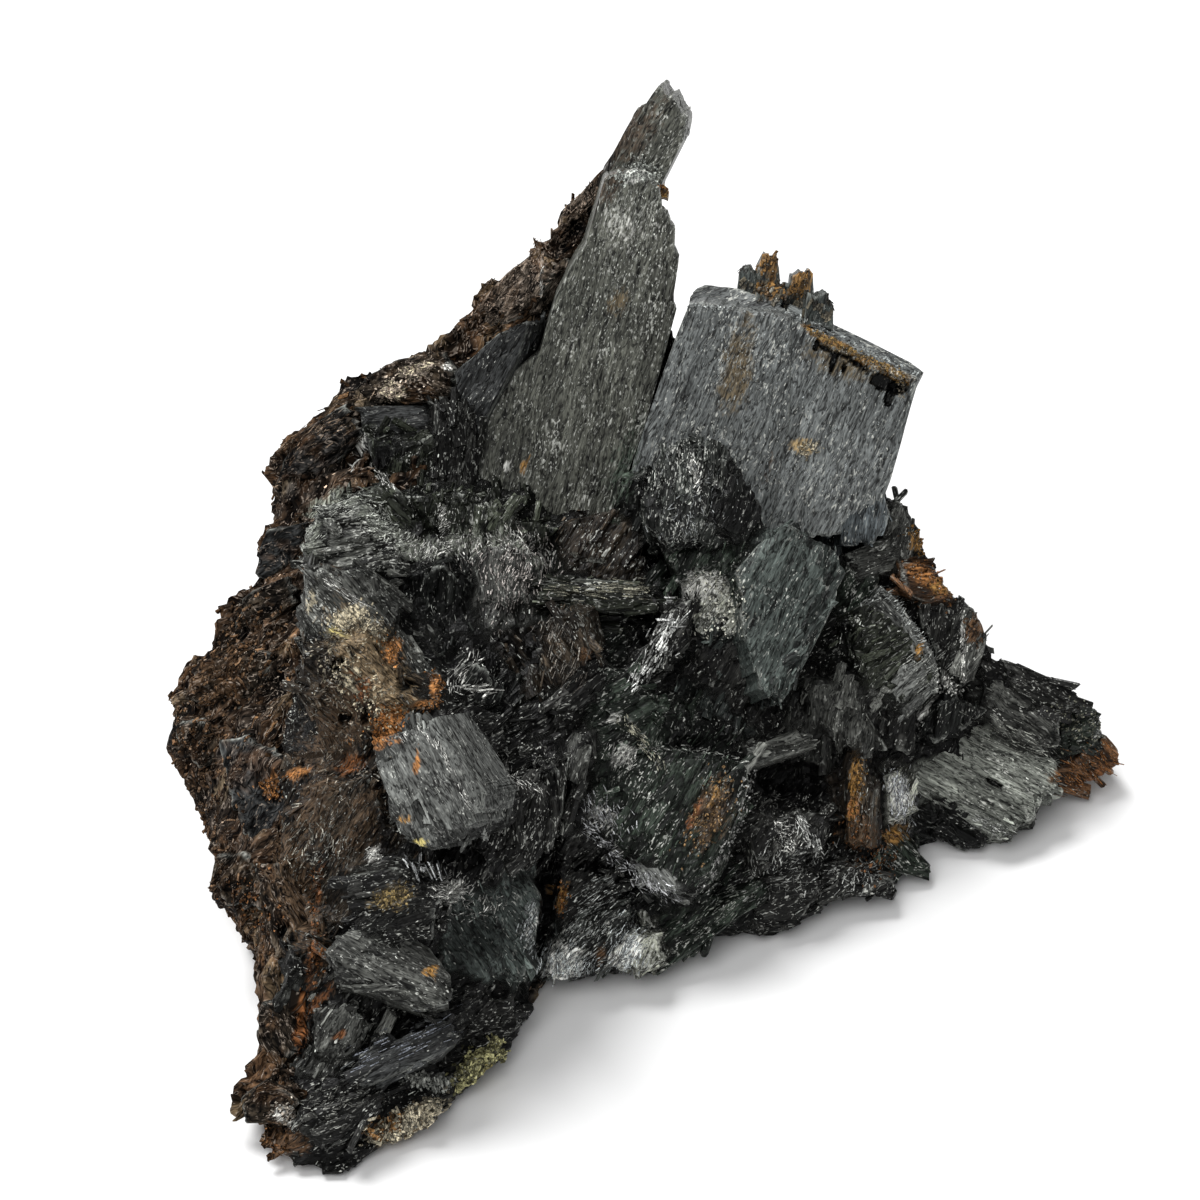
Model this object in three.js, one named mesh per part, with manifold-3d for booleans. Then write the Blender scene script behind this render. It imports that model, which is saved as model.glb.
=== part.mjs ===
// An amphibole specimen: dark prismatic crystals grown together on a rusty brown host rock.
// Two large crystals stand at the top, a tall blade and a broad block, and smaller ones crowd the front.
// Units are millimetres, +Z is up, and the origin is the middle of the flat foot that it rests on.
import * as THREE from "three";
import { ConvexGeometry } from "three/addons/geometries/ConvexGeometry.js";
import { mergeVertices } from "three/addons/utils/BufferGeometryUtils.js";
import Module from "manifold-3d";

// Driving dimensions
const SPECIMEN_WIDTH = 170;
const GAP = 0.3;
const EYE_DISTANCE = 700;
const EYE_ELEVATION = THREE.MathUtils.degToRad(40);
const TARGET = new THREE.Vector3(0, 6, 58);

// The specimen is drawn on a square sheet as it is looked at. The sheet's units are turned into millimetres
// here.
const SHEET_MIDDLE = 600;
const SHEET_SPECIMEN_WIDTH = 956;
const MM_PER_UNIT = SPECIMEN_WIDTH / SHEET_SPECIMEN_WIDTH;

const RIGHT = new THREE.Vector3(1, 0, 0);
const FORWARD = new THREE.Vector3(0, Math.cos(EYE_ELEVATION), -Math.sin(EYE_ELEVATION));
const UPWARD = new THREE.Vector3(0, Math.sin(EYE_ELEVATION), Math.cos(EYE_ELEVATION));
const TOWARDS = FORWARD.clone().negate();
const EYE = TARGET.clone().addScaledVector(TOWARDS, EYE_DISTANCE);

const wasm = await Module();
wasm.setup();

// The line of sight through a point of the sheet.
function sightLine(x, y) {
  return FORWARD.clone()
    .addScaledVector(RIGHT, ((x - SHEET_MIDDLE) * MM_PER_UNIT) / EYE_DISTANCE)
    .addScaledVector(UPWARD, ((SHEET_MIDDLE - y) * MM_PER_UNIT) / EYE_DISTANCE);
}

// The point that is seen at x, y of the sheet and lies at this height above the table.
function seen(x, y, height) {
  const line = sightLine(x, y);
  return EYE.clone().addScaledVector(line, (height - EYE.z) / line.z);
}

// The point where the line of sight through x, y meets a plane.
function seenOnPlane(x, y, origin, normal) {
  const line = sightLine(x, y);
  const reach = origin.clone().sub(EYE).dot(normal) / line.dot(normal);
  return EYE.clone().addScaledVector(line, reach);
}

// The rim of the rock as it is seen: sheet x, sheet y and height. It starts at the top and runs down the
// left.
const RIM = [
  [606, 178, 99], [585, 192, 99], [560, 212, 96], [535, 236, 92], [508, 264, 88], [482, 276, 86],
  [470, 300, 83], [456, 326, 81], [430, 345, 78], [395, 353, 75], [362, 364, 70], [344, 376, 68],
  [331, 396, 65], [312, 416, 62], [284, 436, 58], [266, 466, 55], [272, 497, 52], [278, 516, 51],
  [262, 526, 50], [252, 556, 47], [249, 585, 45], [233, 590, 44], [219, 622, 42], [202, 648, 40],
  [184, 662, 38], [172, 692, 35], [167, 728, 32], [169, 750, 30], [182, 778, 27], [194, 800, 26],
  [208, 826, 24], [210, 858, 22], [204, 890, 20], [222, 912, 18], [250, 926, 17], [252, 952, 16],
  [258, 988, 14], [264, 1016, 12], [252, 1044, 10], [243, 1072, 9], [231, 1096, 8], [230, 1122, 6],
  [252, 1132, 5], [262, 1160, 3], [296, 1171, 2], [320, 1176, 1], [347, 1176, 1], [352, 1160, 3],
  [378, 1148, 3],
  [412, 1138, 2], [442, 1116, 2], [456, 1098, 3], [484, 1076, 2], [511, 1054, 2], [521, 1030, 3],
  [516, 1006, 3], [532, 984, 3], [548, 978, 3], [584, 980, 2], [612, 974, 3], [642, 978, 2],
  [668, 970, 2], [700, 944, 3], [722, 930, 4], [744, 934, 3], [764, 937, 3], [786, 932, 3], [812, 912, 3],
  [838, 903, 2], [888, 898, 2], [902, 878, 2], [926, 862, 2], [934, 838, 3], [960, 842, 2],
  [988, 836, 2], [1018, 826, 2], [1040, 800, 3], [1064, 786, 4], [1092, 776, 4], [1112, 760, 5],
  [1106, 736, 9], [1100, 712, 13], [1084, 702, 17], [1074, 682, 21], [1046, 672, 24], [1014, 664, 28],
  [1000, 650, 31], [988, 626, 35], [976, 606, 38], [952, 592, 41], [934, 562, 46], [924, 536, 50],
  [914, 512, 53], [896, 496, 54], [876, 486, 54], [842, 452, 57], [792, 424, 61], [734, 404, 65],
  [690, 356, 72], [656, 300, 80], [648, 272, 84], [640, 246, 88], [634, 226, 92], [626, 204, 95],
];

// Heights of the rock's face inside the rim, again as sheet x, sheet y and height.
const FACE = [
  [592, 240, 88], [560, 300, 79], [600, 350, 68], [600, 420, 58], [530, 420, 62], [600, 490, 54],
  [660, 440, 58], [482, 350, 79], [452, 420, 70],
  [400, 385, 72], [400, 450, 63], [425, 505, 58], [330, 430, 63], [300, 480, 57], [350, 525, 64],
  [350, 600, 64], [330, 650, 62], [270, 600, 51], [250, 680, 45], [215, 745, 37], [300, 740, 53],
  [380, 700, 61], [440, 700, 56], [440, 780, 53], [300, 820, 42], [255, 860, 31], [350, 860, 41],
  [400, 890, 38], [470, 890, 33], [505, 820, 39], [300, 960, 27], [400, 970, 27], [485, 955, 21],
  [300, 1050, 19], [390, 1040, 16], [460, 1045, 11], [300, 1120, 12], [360, 1110, 9], [540, 850, 28],
  [560, 900, 19], [575, 950, 9], [540, 760, 42], [500, 700, 47], [560, 640, 51], [480, 620, 54],
  [470, 560, 58], [545, 555, 55], [640, 640, 48], [620, 560, 53], [640, 500, 58], [700, 500, 58],
  [720, 560, 53], [790, 540, 53], [780, 640, 43], [740, 700, 38], [660, 700, 42], [600, 720, 43],
  [600, 800, 34], [680, 830, 28], [640, 890, 18], [640, 945, 8], [700, 905, 11], [760, 860, 16],
  [800, 800, 23], [780, 740, 30], [860, 720, 28], [860, 800, 18], [840, 865, 9], [884, 870, 6],
  [860, 620, 40], [895, 550, 46], [900, 640, 34], [930, 700, 23], [960, 640, 31], [1000, 700, 21],
  [960, 760, 12], [1020, 740, 13], [1060, 720, 14], [1076, 752, 8], [960, 820, 5], [1014, 790, 7],
  [470, 480, 62], [740, 440, 62], [800, 470, 60],
];

// Height of the rock at a point of the sheet: the mean of all the given heights, weighted by one over a power
// of the distance, to which a little is added so that no weight is endless.
const KNOWN_HEIGHTS = [...RIM, ...FACE];
const WEIGHT_POWER = 3;
const WEIGHT_EASE = 4;
function rockHeight(x, y) {
  let weights = 0;
  let total = 0;
  for (const [knownX, knownY, height] of KNOWN_HEIGHTS) {
    const weight = 1 / (Math.hypot(x - knownX, y - knownY) + WEIGHT_EASE) ** WEIGHT_POWER;
    weights += weight;
    total += weight * height;
  }
  return total / weights;
}

// A repeatable scatter between -1 and 1 for a pair of whole numbers.
const SCATTER = { first: 127.1, second: 311.7, size: 43758.5453 };
function scatter(a, b) {
  const wave = Math.sin(a * SCATTER.first + b * SCATTER.second) * SCATTER.size;
  return (wave - Math.floor(wave)) * 2 - 1;
}

// three.js geometry to a solid and back.
const MERGE_DISTANCE = 1e-4;
function solidOf(geometry) {
  const bare = geometry.clone();
  bare.deleteAttribute("normal");
  bare.deleteAttribute("uv");
  const merged = mergeVertices(bare, MERGE_DISTANCE);
  return new wasm.Manifold(
    new wasm.Mesh({
      numProp: 3,
      vertProperties: new Float32Array(merged.attributes.position.array),
      triVerts: new Uint32Array(merged.index.array),
    }),
  );
}

function geometryOf(solid) {
  const mesh = solid.getMesh();
  const geometry = new THREE.BufferGeometry();
  geometry.setAttribute("position", new THREE.BufferAttribute(mesh.vertProperties, 3));
  geometry.setIndex(new THREE.BufferAttribute(mesh.triVerts, 1));
  geometry.computeVertexNormals();
  return geometry;
}

function largestBody(solid) {
  return solid.decompose().reduce((best, body) => (body.volume() > best.volume() ? body : best));
}

// Slow swells that make the rock lumpy, between -1 and 1: a wave across, bent by the height and the depth,
// times a wave in depth that the first one bends.
const SWELL = 0.29;
const ACROSS_BEND = { size: 1.7, height: 0.23, depth: 0.11 };
const DEPTH_WAVE = 0.26;
const DEPTH_BEND = { size: 1.1, across: 0.7 };
function swell({ x, y, z }) {
  const bend = ACROSS_BEND.size * Math.sin(z * ACROSS_BEND.height + y * ACROSS_BEND.depth);
  const across = x * SWELL + bend;
  const depth = y * DEPTH_WAVE + DEPTH_BEND.size * Math.sin(across * DEPTH_BEND.across + z * SWELL);
  return Math.sin(across) * Math.cos(depth);
}

// The rock: rings of points from the middle of its face out to the rim, down the hidden back and in under the
// foot. Each ring is a share of the way to the rim or a level down the back, and uses every so many rim
// points.
const FACE_MIDDLE = [500, 780];
const FACE_RINGS = [
  { share: 0.25, every: 8 },
  { share: 0.45, every: 4 },
  { share: 0.65, every: 4 },
  { share: 0.85, every: 4 },
  { share: 1, every: 1 },
];
const BACK_RINGS = [
  { level: 0.82, every: 2 },
  { level: 0.6, every: 2 },
  { level: 0.38, every: 2 },
  { level: 0.16, every: 2 },
  { level: 0, every: 2 },
];
const FOOT_SHARE = 0.9;
const FOOT_DEPTH = 3;
const BACK_SLOPE = 0.2;
const BACK_STARTS_AT = -10;
const BACK_FULL_AT = 30;
const FACE_ROUGHNESS = 1.5;
const BACK_ROUGHNESS = 4;
const FRONT_ROUGHNESS = 0.4;
const ROUGH_FROM_DROP = 12;
const RING_SEED = 100;

function facePoint(column, share) {
  const [rimX, rimY, rimHeight] = RIM[column];
  if (share === 1) return seen(rimX, rimY, rimHeight);
  const x = FACE_MIDDLE[0] + (rimX - FACE_MIDDLE[0]) * share;
  const y = FACE_MIDDLE[1] + (rimY - FACE_MIDDLE[1]) * share;
  const bump = FACE_ROUGHNESS * scatter(share * RING_SEED, column);
  return seen(x, y, rockHeight(x, y)).addScaledVector(TOWARDS, bump);
}

function backPoint(column, level) {
  const rim = seen(...RIM[column]);
  const drop = rim.z * (1 - level);
  const share = 1 - (1 - FOOT_SHARE) * (1 - level);
  const behind = THREE.MathUtils.clamp((rim.y - BACK_STARTS_AT) / (BACK_FULL_AT - BACK_STARTS_AT), 0, 1);
  const point = new THREE.Vector3(rim.x * share, rim.y * share, level > 0 ? rim.z * level : -FOOT_DEPTH);
  point.y += BACK_SLOPE * drop * behind;
  const roughShare = FRONT_ROUGHNESS + (1 - FRONT_ROUGHNESS) * behind;
  const rough = BACK_ROUGHNESS * Math.min(1, drop / ROUGH_FROM_DROP) * roughShare;
  return point.addScaledVector(new THREE.Vector3(rim.x, rim.y, 0).normalize(), rough * swell(point));
}

// Joins two neighbouring rings of one closed surface, which may use the rim's points differently often.
function joinRings(faces, inner, outer) {
  const columns = RIM.length;
  const at = (ring, column) => ring.start + (column % columns) / ring.every;
  const step = Math.max(inner.every, outer.every);
  for (let column = 0; column < columns; column += step) {
    const next = column + step;
    if (inner.every === step) {
      faces.push(at(inner, column), at(outer, next - outer.every), at(inner, next));
      faces.push(at(inner, next), at(outer, next - outer.every), at(outer, next));
      for (let c = column; c < next - outer.every; c += outer.every) {
        faces.push(at(inner, column), at(outer, c), at(outer, c + outer.every));
      }
    } else {
      faces.push(at(outer, column), at(outer, next), at(inner, next - inner.every));
      faces.push(at(inner, next - inner.every), at(outer, next), at(inner, next));
      for (let c = column; c < next - inner.every; c += inner.every) {
        faces.push(at(outer, column), at(inner, c + inner.every), at(inner, c));
      }
    }
  }
}

function rockBody() {
  const points = [seen(...FACE_MIDDLE, rockHeight(...FACE_MIDDLE))];
  const rings = [...FACE_RINGS, ...BACK_RINGS].map(({ share, level, every }) => {
    const start = points.length;
    for (let column = 0; column < RIM.length; column += every) {
      points.push(share === undefined ? backPoint(column, level) : facePoint(column, share));
    }
    return { start, every };
  });
  const foot = points.push(new THREE.Vector3(0, 0, -FOOT_DEPTH)) - 1;

  const faces = [];
  rings.slice(1).forEach((outer, i) => joinRings(faces, rings[i], outer));
  const [first, last] = [rings[0], rings.at(-1)];
  for (let i = 0; i < RIM.length / first.every; i++) {
    faces.push(0, first.start + i, first.start + ((i + 1) % (RIM.length / first.every)));
  }
  for (let i = 0; i < RIM.length / last.every; i++) {
    faces.push(last.start + i, foot, last.start + ((i + 1) % (RIM.length / last.every)));
  }
  const geometry = new THREE.BufferGeometry().setFromPoints(points);
  geometry.setIndex(faces);
  return solidOf(geometry);
}

// A broken lump of rock: the hull of points that wind down an ellipsoid, each moved by a scatter.
const LUMP_POINTS = 13;
const LUMP_WINDING = 2.4;
const LUMP_TURN = 0.5;
const LUMP_REACH = 0.16;
const REACH_SEED = 9;
function lump({ at, size }, seed) {
  const points = [];
  for (let i = 0; i < LUMP_POINTS; i++) {
    const rise = 1 - (2 * (i + 0.5)) / LUMP_POINTS;
    const turn = i * LUMP_WINDING + scatter(seed, i) * LUMP_TURN;
    const across = Math.sqrt(1 - rise * rise);
    const reach = 1 + LUMP_REACH * scatter(seed + REACH_SEED, i);
    points.push(
      new THREE.Vector3(across * Math.cos(turn), across * Math.sin(turn), rise)
        .multiplyScalar(reach)
        .multiply(new THREE.Vector3(...size))
        .add(new THREE.Vector3(...at)),
    );
  }
  return solidOf(new ConvexGeometry(points));
}

// Half of space as a large box whose face lies on a plane. It fills the side the normal points away from.
const HALF_SPACE = 600;
function halfSpace(origin, normal) {
  const box = new THREE.BoxGeometry(HALF_SPACE, HALF_SPACE, HALF_SPACE);
  box.translate(0, 0, -HALF_SPACE / 2);
  box.applyQuaternion(new THREE.Quaternion().setFromUnitVectors(new THREE.Vector3(0, 0, 1), normal));
  box.translate(origin.x, origin.y, origin.z);
  return solidOf(box);
}

// Moves the corners of an outline outwards, a little more than the distance that its edges are to move.
const CORNER_REACH = 1.15;
function grownOutline(corners, distance) {
  const area = THREE.ShapeUtils.area(corners);
  return corners.map((corner, i) => {
    const before = corner.clone().sub(corners.at(i - 1)).normalize();
    const after = corners[(i + 1) % corners.length].clone().sub(corner).normalize();
    const outward = new THREE.Vector2(before.y + after.y, -before.x - after.x);
    outward.multiplyScalar(Math.sign(area)).normalize();
    return corner.clone().addScaledVector(outward, distance * CORNER_REACH);
  });
}

// A crystal is a prism. Its outline is seen on the sheet, on a face that stands proud of the rock at the
// outline's middle, or at a given height. up and right turn the face away from the eye, in degrees, and slant
// shifts its back along the sheet, in millimetres, which shows a side face.
function crystal(plan, grow = 0) {
  const { proud = 2, height = null, up = 0, right = 0, thick = 8, slant = [0, 0], outline } = plan;
  const middleX = outline.reduce((sum, [x]) => sum + x, 0) / outline.length;
  const middleY = outline.reduce((sum, [, y]) => sum + y, 0) / outline.length;
  const normal = TOWARDS.clone()
    .addScaledVector(UPWARD, Math.tan(THREE.MathUtils.degToRad(up)))
    .addScaledVector(RIGHT, Math.tan(THREE.MathUtils.degToRad(right)))
    .normalize();
  const origin =
    height === null
      ? seen(middleX, middleY, rockHeight(middleX, middleY)).addScaledVector(TOWARDS, proud)
      : seen(middleX, middleY, height);
  const across = RIGHT.clone().addScaledVector(normal, -RIGHT.dot(normal)).normalize();
  const along = normal.clone().cross(across);
  const corners = outline.map(([x, y]) => {
    const point = seenOnPlane(x, y, origin, normal).sub(origin);
    return new THREE.Vector2(point.dot(across), point.dot(along));
  });
  const shape = new THREE.Shape(grow ? grownOutline(corners, grow) : corners);
  const depth = thick + 2 * grow;
  const prism = new THREE.ExtrudeGeometry(shape, { depth, bevelEnabled: false });
  prism.translate(0, 0, grow - depth);
  const [driftX, driftY] = [-slant[0] / thick, slant[1] / thick];
  prism.applyMatrix4(new THREE.Matrix4().set(1, 0, driftX, 0, 0, 1, driftY, 0, 0, 0, 1, 0, 0, 0, 0, 1));
  prism.applyMatrix4(new THREE.Matrix4().makeBasis(across, along, normal).setPosition(origin));
  return solidOf(prism);
}

function joined(crystals, grow = 0) {
  return crystals.map((one) => crystal(one, grow)).reduce((all, one) => all.add(one));
}

// The tall blade, with the narrower crystal that stands up behind it and the ledges on its left side.
const TALL_CRYSTAL = [
  {
    height: 84, up: -10, right: 2, thick: 13,
    outline: [
      [604, 177], [622, 167], [646, 168], [661, 183], [664, 204], [676, 226], [675, 243], [681, 251],
      [674, 296], [678, 304], [664, 352], [655, 395], [640, 440], [622, 490], [604, 530], [540, 548],
      [478, 540], [474, 470], [487, 405], [500, 372], [522, 362], [546, 345], [556, 295], [575, 258],
      [592, 232],
    ],
  },
  {
    height: 109, up: -14, right: -8, thick: 10,
    outline: [
      [653, 92], [660, 83], [674, 95], [688, 118], [685, 140], [662, 182], [648, 240], [596, 250], [600, 190],
      [622, 148], [640, 112],
    ],
  },
  {
    height: 106, up: -10, right: -36, thick: 8,
    outline: [[630, 106], [650, 99], [646, 130], [622, 170], [606, 210], [584, 220], [587, 178], [612, 143]],
  },
];

// The broad block, bevelled along its top edge, with small broken columns standing on it.
const BLOCK_CRYSTAL = [
  {
    height: 75, up: -10, right: -7, thick: 20,
    outline: [[688, 302], [704, 301], [792, 317], [790, 420], [768, 540], [660, 530], [630, 470], [655, 395]],
  },
  {
    height: 71, up: -10, right: 7, thick: 22,
    outline: [[791, 317], [856, 346], [920, 378], [888, 492], [868, 536], [766, 540], [776, 420]],
  },
  {
    height: 86, up: 26, right: -3, thick: 16,
    outline: [[688, 303], [691, 291], [706, 283], [738, 287], [782, 300], [796, 318], [760, 330], [700, 320]],
  },
  {
    height: 80, up: 26, right: 10, thick: 16,
    outline: [[782, 317], [784, 300], [850, 332], [914, 363], [926, 372], [921, 380], [900, 385], [840, 358]],
  },
  {
    height: 88, up: -8, thick: 7,
    outline: [
      [756, 306], [758, 266], [767, 251], [779, 255], [780, 276], [776, 308],
    ],
  },
  { height: 87, up: -8, thick: 5, outline: [[735, 304], [742, 266], [755, 267], [760, 306]] },
  {
    height: 85, up: -8, thick: 7,
    outline: [
      [784, 316], [791, 276], [802, 265], [815, 270], [814, 290], [808, 320],
    ],
  },
  {
    height: 84, up: -8, thick: 5,
    outline: [
      [806, 322], [811, 288], [820, 293], [829, 288], [835, 302], [832, 330],
    ],
  },
];

// Blocks and ledges of the brown host rock.
const ROCK_BLOCKS = [
  {
    proud: 2, up: 2, right: -30, thick: 12,
    outline: [
      [542, 246], [560, 210], [604, 166], [608, 198], [580, 262], [556, 284],
    ],
  },
  {
    proud: 2.5, up: 4, right: -24, thick: 14,
    outline: [
      [346, 384], [392, 356], [440, 350], [458, 372], [452, 398], [400, 404], [352, 402],
    ],
  },
  {
    proud: 2, up: -6, right: -20, thick: 12,
    outline: [
      [286, 440], [340, 404], [364, 430], [330, 470], [290, 498], [270, 486],
    ],
  },
  {
    proud: 2, up: 12, right: -30, thick: 12,
    outline: [
      [484, 286], [536, 244], [556, 262], [530, 310], [486, 330], [468, 322],
    ],
  },
  {
    proud: 3, up: -6, right: -34, thick: 12,
    outline: [
      [530, 252], [548, 244], [566, 262], [558, 300], [548, 350], [524, 364], [518, 330],
    ],
  },
  {
    proud: 3, up: -8, right: -26, thick: 12,
    outline: [
      [254, 556], [264, 530], [302, 522], [308, 546], [268, 582], [252, 580],
    ],
  },
  {
    proud: 2, up: -4, right: -22, thick: 12,
    outline: [
      [236, 600], [250, 590], [286, 576], [300, 600], [262, 628], [230, 630],
    ],
  },
  {
    proud: 2.5, up: 8, right: -24, thick: 14,
    outline: [
      [188, 668], [236, 640], [276, 652], [262, 700], [214, 716], [180, 700],
    ],
  },
  {
    proud: 2, up: -10, right: -24, thick: 12,
    outline: [
      [172, 722], [206, 716], [222, 744], [200, 774], [176, 756],
    ],
  },
  {
    proud: 3, up: 4, right: -16, thick: 16,
    outline: [
      [216, 740], [250, 732], [292, 756], [302, 812], [284, 850], [246, 848], [226, 796],
    ],
  },
  {
    proud: 2, up: -6, right: -26, thick: 12,
    outline: [
      [212, 856], [244, 848], [268, 880], [262, 914], [226, 908], [208, 890],
    ],
  },
  {
    proud: 2.5, up: 6, right: -30, thick: 10,
    outline: [
      [244, 860], [272, 856], [304, 930], [312, 986], [290, 990], [262, 930],
    ],
  },
  {
    proud: 2, up: 2, right: -24, thick: 10,
    outline: [
      [256, 1000], [296, 992], [308, 1040], [280, 1076], [246, 1068],
    ],
  },
  {
    proud: 2, up: -8, right: -20, thick: 8,
    outline: [
      [234, 1100], [266, 1080], [300, 1100], [290, 1130], [240, 1126],
    ],
  },
];

// Crystals of the dark mass, from the top of its face to the bottom.
const MASS_CRYSTALS = [
  // Under the tall blade and left of it.
  {
    proud: 5, up: -4, right: -18, thick: 12,
    outline: [
      [452, 372], [498, 332], [530, 318], [516, 364], [492, 392], [480, 440], [456, 424],
    ],
  },
  {
    proud: 3, up: 12, right: -6, thick: 12,
    outline: [
      [352, 406], [440, 404], [444, 436], [404, 446], [366, 436],
    ],
  },
  {
    proud: 4, up: -22, right: 6, thick: 10,
    outline: [
      [366, 440], [404, 446], [436, 438], [438, 480], [402, 492], [376, 478],
    ],
  },
  {
    proud: 4, up: -8, right: 14, thick: 12,
    outline: [
      [438, 408], [478, 400], [480, 470], [462, 508], [438, 500],
    ],
  },
  {
    proud: 4, up: 6, right: 10, thick: 10,
    outline: [
      [344, 496], [388, 478], [404, 494], [444, 534], [420, 548], [376, 524],
    ],
  },
  {
    proud: 5, up: -2, right: 4, thick: 10,
    outline: [
      [404, 496], [470, 490], [520, 520], [560, 528], [540, 552], [450, 548],
    ],
  },
  // The pale weathered crystals on the upper left.
  {
    proud: 5, up: 10, right: -6, thick: 14, slant: [-3, -2],
    outline: [
      [306, 532], [322, 508], [352, 497], [376, 508], [398, 546], [404, 572], [366, 566], [322, 572],
      [302, 560],
    ],
  },
  {
    proud: 3.5, up: -4, right: -2, thick: 12,
    outline: [
      [302, 566], [360, 570], [402, 604], [392, 640], [340, 652], [300, 640],
    ],
  },
  {
    proud: 4, up: 4, right: 16, thick: 10,
    outline: [
      [352, 600], [384, 604], [436, 672], [438, 712], [404, 706], [372, 650],
    ],
  },
  {
    proud: 3, up: -14, right: 4, thick: 10,
    outline: [
      [302, 650], [366, 640], [396, 690], [380, 736], [330, 742], [300, 700],
    ],
  },
  {
    proud: 4, up: 6, right: 6, thick: 10,
    outline: [
      [474, 566], [486, 544], [522, 540], [546, 560], [538, 596], [502, 612], [472, 600],
    ],
  },
  {
    proud: 3, up: -10, right: 0, thick: 10,
    outline: [
      [404, 578], [444, 560], [468, 582], [462, 626], [414, 620],
    ],
  },
  // The pale block with a bright side face, and what lies round it.
  {
    proud: 7, up: 10, right: -8, thick: 15, slant: [7, -4],
    outline: [
      [366, 742], [404, 728], [424, 724], [440, 746], [474, 812], [466, 836], [440, 850], [406, 850],
      [388, 824],
    ],
  },
  {
    proud: 3, up: -12, right: -14, thick: 10,
    outline: [
      [306, 790], [366, 776], [392, 836], [350, 880], [304, 870],
    ],
  },
  {
    proud: 4, up: 16, right: 10, thick: 10,
    outline: [
      [412, 704], [450, 700], [506, 712], [510, 748], [470, 752], [448, 724],
    ],
  },
  {
    proud: 4, up: -8, right: 12, thick: 9,
    outline: [
      [442, 690], [470, 656], [482, 662], [506, 690], [500, 708], [452, 704],
    ],
  },
  {
    proud: 4, up: -6, right: 2, thick: 10,
    outline: [
      [482, 780], [540, 776], [556, 838], [520, 870], [470, 850], [474, 820],
    ],
  },
  { proud: 4, up: -10, right: -12, thick: 9, outline: [[538, 764], [566, 764], [560, 826], [540, 832]] },
  {
    proud: 5, up: -10, right: 14, thick: 9,
    outline: [
      [570, 760], [594, 742], [584, 800], [562, 838], [560, 826],
    ],
  },
  // The middle of the face.
  {
    proud: 7, up: 2, right: 0, thick: 9,
    outline: [
      [532, 582], [560, 577], [640, 582], [662, 602], [640, 614], [596, 612], [536, 606],
    ],
  },
  {
    proud: 5, up: -8, right: -14, thick: 10,
    outline: [
      [538, 628], [564, 608], [580, 618], [592, 656], [562, 682], [546, 702], [536, 680],
    ],
  },
  {
    proud: 6, up: 8, right: 10, thick: 9,
    outline: [
      [546, 702], [576, 670], [606, 650], [614, 672], [592, 700], [560, 724],
    ],
  },
  {
    proud: 5, up: 4, right: 14, thick: 9,
    outline: [
      [596, 664], [626, 668], [650, 694], [676, 712], [640, 732], [592, 706],
    ],
  },
  {
    proud: 5, up: -4, right: -10, thick: 9,
    outline: [
      [664, 606], [690, 600], [690, 640], [664, 668], [636, 680], [640, 660],
    ],
  },
  {
    proud: 4, up: 14, right: 0, thick: 10,
    outline: [
      [560, 520], [620, 506], [646, 540], [632, 572], [580, 566], [548, 548],
    ],
  },
  {
    height: 71, up: 16, right: -4, thick: 20,
    outline: [
      [656, 456], [668, 444], [700, 440], [728, 444], [737, 456], [730, 486], [722, 522], [704, 540],
      [668, 546], [645, 526], [639, 502], [648, 474],
    ],
  },
  {
    height: 69, up: 0, right: 26, thick: 18,
    outline: [
      [728, 458], [746, 466], [750, 484], [766, 502], [768, 528], [744, 546], [718, 530],
    ],
  },
  {
    proud: 3, up: -20, right: -10, thick: 10,
    outline: [
      [622, 486], [646, 470], [652, 530], [680, 560], [640, 566], [610, 520],
    ],
  },
  {
    height: 60, up: 18, right: -10, thick: 14,
    outline: [
      [660, 548], [720, 530], [768, 540], [772, 590], [736, 580], [700, 570], [676, 584],
    ],
  },
  {
    height: 55, up: 8, right: 14, thick: 14,
    outline: [
      [766, 532], [790, 520], [836, 548], [845, 562], [838, 602], [808, 660], [784, 704], [768, 690],
      [762, 620],
    ],
  },
  {
    proud: 8, up: 20, right: -4, thick: 12,
    outline: [
      [700, 571], [740, 580], [770, 600], [768, 624], [736, 634], [700, 638], [688, 622], [686, 590],
    ],
  },
  {
    proud: 7, up: -14, right: -2, thick: 12,
    outline: [
      [686, 642], [736, 634], [772, 626], [800, 646], [784, 702], [744, 706], [712, 694], [690, 672],
    ],
  },
  {
    proud: 5, up: 10, right: 6, thick: 6,
    outline: [
      [744, 748], [800, 731], [814, 733], [821, 744], [804, 752], [750, 768],
    ],
  },
  {
    proud: 5, up: 8, right: -6, thick: 12, slant: [-2, 5],
    outline: [
      [600, 786], [622, 744], [690, 746], [748, 760], [750, 782], [736, 820], [716, 864], [690, 884],
      [650, 868], [598, 826],
    ],
  },
  {
    proud: 3, up: 10, right: -20, thick: 9,
    outline: [
      [584, 812], [602, 800], [632, 836], [668, 870], [682, 892], [660, 894], [630, 876], [600, 842],
    ],
  },
  // The right side.
  {
    height: 63, up: 0, right: 6, thick: 14,
    outline: [
      [838, 506], [848, 488], [884, 490], [892, 512], [886, 540], [862, 548], [842, 546],
    ],
  },
  {
    proud: 4, up: 6, right: 24, thick: 10,
    outline: [
      [886, 496], [902, 500], [916, 526], [914, 560], [896, 580], [886, 540],
    ],
  },
  {
    proud: 5, up: 14, right: 8, thick: 9,
    outline: [
      [846, 552], [896, 532], [904, 548], [898, 568], [856, 580],
    ],
  },
  {
    proud: 4, up: 0, right: 20, thick: 9,
    outline: [
      [902, 560], [936, 566], [958, 596], [930, 604], [900, 590],
    ],
  },
  {
    proud: 5, up: -6, right: -18, thick: 10,
    outline: [
      [846, 562], [878, 576], [872, 600], [850, 622], [836, 610],
    ],
  },
  {
    proud: 7, up: 14, right: 22, thick: 14, slant: [-4, 3],
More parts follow.
